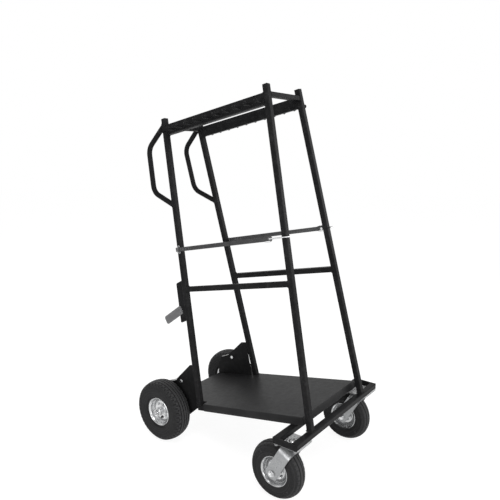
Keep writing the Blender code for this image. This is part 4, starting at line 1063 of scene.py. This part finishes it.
def make_straps():
    half = 0.0085
    eye_half = 0.0115
    surface = 0.0019
    for name, side in SIDES.items():
        body = "strap_body_" + name
        rise = post_direction(side)
        out = outward(side)
        hinge = post_crossing(rear_base(side), side, STRAP_Z) + out * STRAP_OFFSET
        tall = FORWARD.cross(out)
        tall = tall if tall.z > 0 else -tall
        normal = FORWARD.cross(tall)
        eye = (STRAP_EYE_X[name] + AXLE_X - hinge.x) / FORWARD.x
        hole = hinge + FORWARD * eye
        blank = mirrored([(0.004, half, 0.001), (eye - 0.026, half, 0.02),
                          (eye - 0.012, eye_half, 0.01), (eye + eye_half, eye_half, 0.0112)], 8)
        band = plate([blank, circle(eye, 0, 0.0036)], 0.0040, 0.0011, 3)
        parts = [moved(band, basis(FORWARD, tall, normal, hinge))]
        for face in (-1, 1):
            collar = revolve([(0.0034, 0.0004), (0.0052, 0.0011), (0.0070, 0.0009), (0.0078, 0),
                              (0.0034, 0)], 32)
            shift = normal * (face * surface)
            parts.append(stood(collar, normal * face, hole + shift))
            for index in range(7):
                rib = hinge + FORWARD * (0.020 + index * 0.009) + shift
                parts.append(sweep([rib - tall * 0.0066, rib + tall * 0.0066], 0.0010, 8))
        barrel = revolve([(0.0033, -half), (0.0070, -half), (0.0076, -half + 0.0008),
                          (0.0076, half - 0.0008), (0.0070, half), (0.0033, half)], 36)
        parts.append(stood(barrel, rise, hinge))
        piece("strap_band_" + name, joined(parts), "strap", body, ["strap_" + name], 40)

        wire = 0.0025
        post = post_crossing(side_base(side), side, STRAP_Z)
        reach = (post - hinge).dot(FORWARD) + POST / 2 + GAP + wire + 0.0055
        front = hinge + FORWARD * reach
        lift = out * (0.002 + wire + 2 * GAP)
        points = [hole - out * 0.0085, hole + lift, front + lift, front - out * 0.016]
        hook = sweep(bent_path(points, 0.0046, 9), wire, 20)
        knob = turned([(0, -0.0016), (0.0046, -0.0016), (0.0056, 0), (0.0046, 0.0016),
                       (0, 0.0016)], 24)
        knob = stood(knob, out, points[0] + out * 0.0010)
        piece("strap_wire_hook_" + name, joined([hook, knob]), "zinc", body,
              ["strap_hook_" + name], look="bolt_zinc")

        foot = hinge - out * (STRAP_OFFSET - POST / 2)
        span = rise * 0.0125
        loop = [foot + span, hinge + span, hinge - span, foot - span]
        parts = [sweep(bent_path(loop, 0.0042, 7), 0.0030, 20)]
        for sign in (1, -1):
            weld = turned([(0, 0), (0.0056, 0), (0.0050, 0.0014), (0.0034, 0.0020),
                           (0, 0.0020)], 24)
            parts.append(stood(weld, out, foot + span * sign))
        piece("strap_loop_" + name, joined(parts), "zinc", replaced=["strap_staple_" + name])


# Axle plates and the tab

def make_plate_details():
    for name, side in SIDES.items():
        out = ACROSS * side
        outer = at(PLATE_BOLT_X, side * (AXLE_PLATE_Y + AXLE_PLATE_HALF), PLATE_BOLT_Z)
        inner = at(PLATE_BOLT_X, side * (AXLE_PLATE_Y - AXLE_PLATE_HALF), PLATE_BOLT_Z)
        parts = [stood(washer(0.0042, 0.0088, 0.0012, 28), out, outer),
                 stood(hex_nut(0.013, 0.0046), out, outer + out * 0.0012),
                 stood(hex_nut(0.013, 0.0060, 0.0040), -out, inner),
                 stood(threaded(0.0040, 0.0090), -out, inner)]
        piece("plate_bolt_" + name, joined(parts), "zinc",
              replaced=["axle_plate_bolt_" + name], look="bolt_zinc")
        rear_end = at(-0.014, side * (AXLE_PLATE_Y + 0.0035), 0.2382)
        front_end = at(0.031, side * (AXLE_PLATE_Y + 0.0035), 0.2582)
        run = (front_end - rear_end).normalized()
        half = (front_end - rear_end).length / 2
        strip = plate([block(half, -0.0030, 0.0036, 0.0012)], 0.0028, 0.0008)
        place = basis(run, ACROSS.cross(run), ACROSS, (rear_end + front_end) / 2)
        # The flange's pale finish is a painted highlight.
        piece("plate_flange_" + name, moved(strip, place), "zinc", look="pale_flange_highlight")
        boss = at(0, side * (AXLE_PLATE_Y + 0.0022), REAR_RADIUS)
        welds("axle_boss_weld_" + name, [bead(ring_path(boss, ACROSS, 0.0144, 28), 0.0022)])


def make_tab_details():
    side = SIDES["near"]
    rise = post_direction(side)
    low = on_post(rear_base(side), side, TIE_LOW_Z) + rearward(side) * (POST / 2 + 0.0004)
    length = (TIE_HIGH_Z - TIE_LOW_Z) / rise.z
    parts = []
    for face in (-1, 1):
        shift = outward(side) * (face * 0.0026)
        for start in (0.014, 0.078, length - 0.030):
            points = [low + shift + rise * start, low + shift + rise * (start + 0.026)]
            parts.append(bead(points, 0.0017, False))
    welds("tie_plate_welds", parts)


# Frame finish, floor and light

def finish_frame():
    slots = {row["node"]: row["material_slot"] for row in frame["record"]["subparts"]}
    for name, node in frame["nodes"].items():
        for index in range(len(node.material_slots)):
            node.material_slots[index].material = materials[slots[name]]
        if not node.material_slots:
            node.data.materials.append(materials[slots[name]])


def stage_floor():
    """A pale floor: plain for light, and near white but shadowed where it is looked at."""
    size = 14
    mesh = bpy.data.meshes.new("floor")
    mesh.from_pydata([(-size, -size, 0), (size, -size, 0), (size, size, 0), (-size, size, 0)],
                     [], [(0, 1, 2, 3)])
    floor = bpy.data.objects.new("floor", mesh)
    floor.location.z = -0.0005
    bpy.context.scene.collection.objects.link(floor)
    material = bpy.data.materials.new("pale_floor")
    material.use_nodes = True
    material.node_tree.nodes.clear()
    nodes = Nodes(material.node_tree)
    body = nodes.add("ShaderNodeBsdfDiffuse")
    body.inputs["Color"].default_value = (0.80, 0.80, 0.80, 1)
    shade = nodes.add("ShaderNodeBsdfDiffuse")
    shade.inputs["Color"].default_value = (0.26, 0.26, 0.26, 1)
    glow = nodes.add("ShaderNodeEmission")
    glow.inputs["Strength"].default_value = 0.88
    both = nodes.add("ShaderNodeAddShader")
    nodes.feed(both.inputs[0], shade.outputs["BSDF"])
    nodes.feed(both.inputs[1], glow.outputs["Emission"])
    mix = nodes.add("ShaderNodeMixShader")
    nodes.feed(mix.inputs["Fac"], nodes.plain_view())
    nodes.feed(mix.inputs[1], body.outputs["BSDF"])
    nodes.feed(mix.inputs[2], both.outputs["Shader"])
    output = nodes.add("ShaderNodeOutputMaterial")
    nodes.feed(output.inputs["Surface"], mix.outputs["Shader"])
    mesh.materials.append(material)


def make_world():
    """Even light at a low level; where it is looked at, white and darker towards the zenith."""
    ambient = 0.45
    world = bpy.data.worlds.new("studio")
    world.use_nodes = True
    bpy.context.scene.world = world
    nodes = Nodes(world.node_tree)
    background = world.node_tree.nodes["Background"]
    background.inputs["Color"].default_value = (1, 1, 1, 1)
    height = nodes.add("ShaderNodeSeparateXYZ")
    nodes.feed(height.inputs["Vector"], nodes.add("ShaderNodeTexCoord").outputs["Generated"])
    ceiling = nodes.span(height.outputs["Z"], 0.50, 0.85, 1.0, 0.35)
    backdrop = nodes.math("MULTIPLY", nodes.plain_view(),
                          nodes.math("SUBTRACT", ceiling, ambient))
    nodes.feed(background.inputs["Strength"], nodes.math("ADD", backdrop, ambient))


def lamp(name, place, target, size, power):
    data = bpy.data.lights.new(name, "AREA")
    data.shape = "RECTANGLE"
    data.size, data.size_y = size
    data.energy = power
    obj = bpy.data.objects.new(name, data)
    obj.location = place
    obj.rotation_euler = (Vector(target) - Vector(place)).to_track_quat("-Z", "Y").to_euler()
    obj.visible_camera = False
    bpy.context.scene.collection.objects.link(obj)


def make_light():
    lamp("key", (3.6, -1.2, 1.7), (0, 0, 0.6), (2.0, 2.2), 66)
    lamp("near", (0.25, -3.7, 1.1), (0, 0, 0.5), (1.6, 2.0), 36)
    lamp("top", (1.2, -1.5, 3.4), (0, 0, 0.5), (1.4, 1.4), 30)
    lamp("rim", (2.1, 2.6, 1.7), (0.3, 0, 0.5), (0.9, 1.5), 22)
    lamp("back", (-3.4, 0.9, 1.9), (0, 0, 0.6), (1.6, 1.6), 24)
    bpy.context.scene.view_settings.view_transform = "Standard"


make_camera()
materials = make_materials()
finish_frame()
make_deck()
make_welds()
make_pegs()
make_handles()
make_wheels()
make_rear_axle()
make_casters()
make_straps()
make_plate_details()
make_tab_details()
stage_floor()
make_world()
make_light()
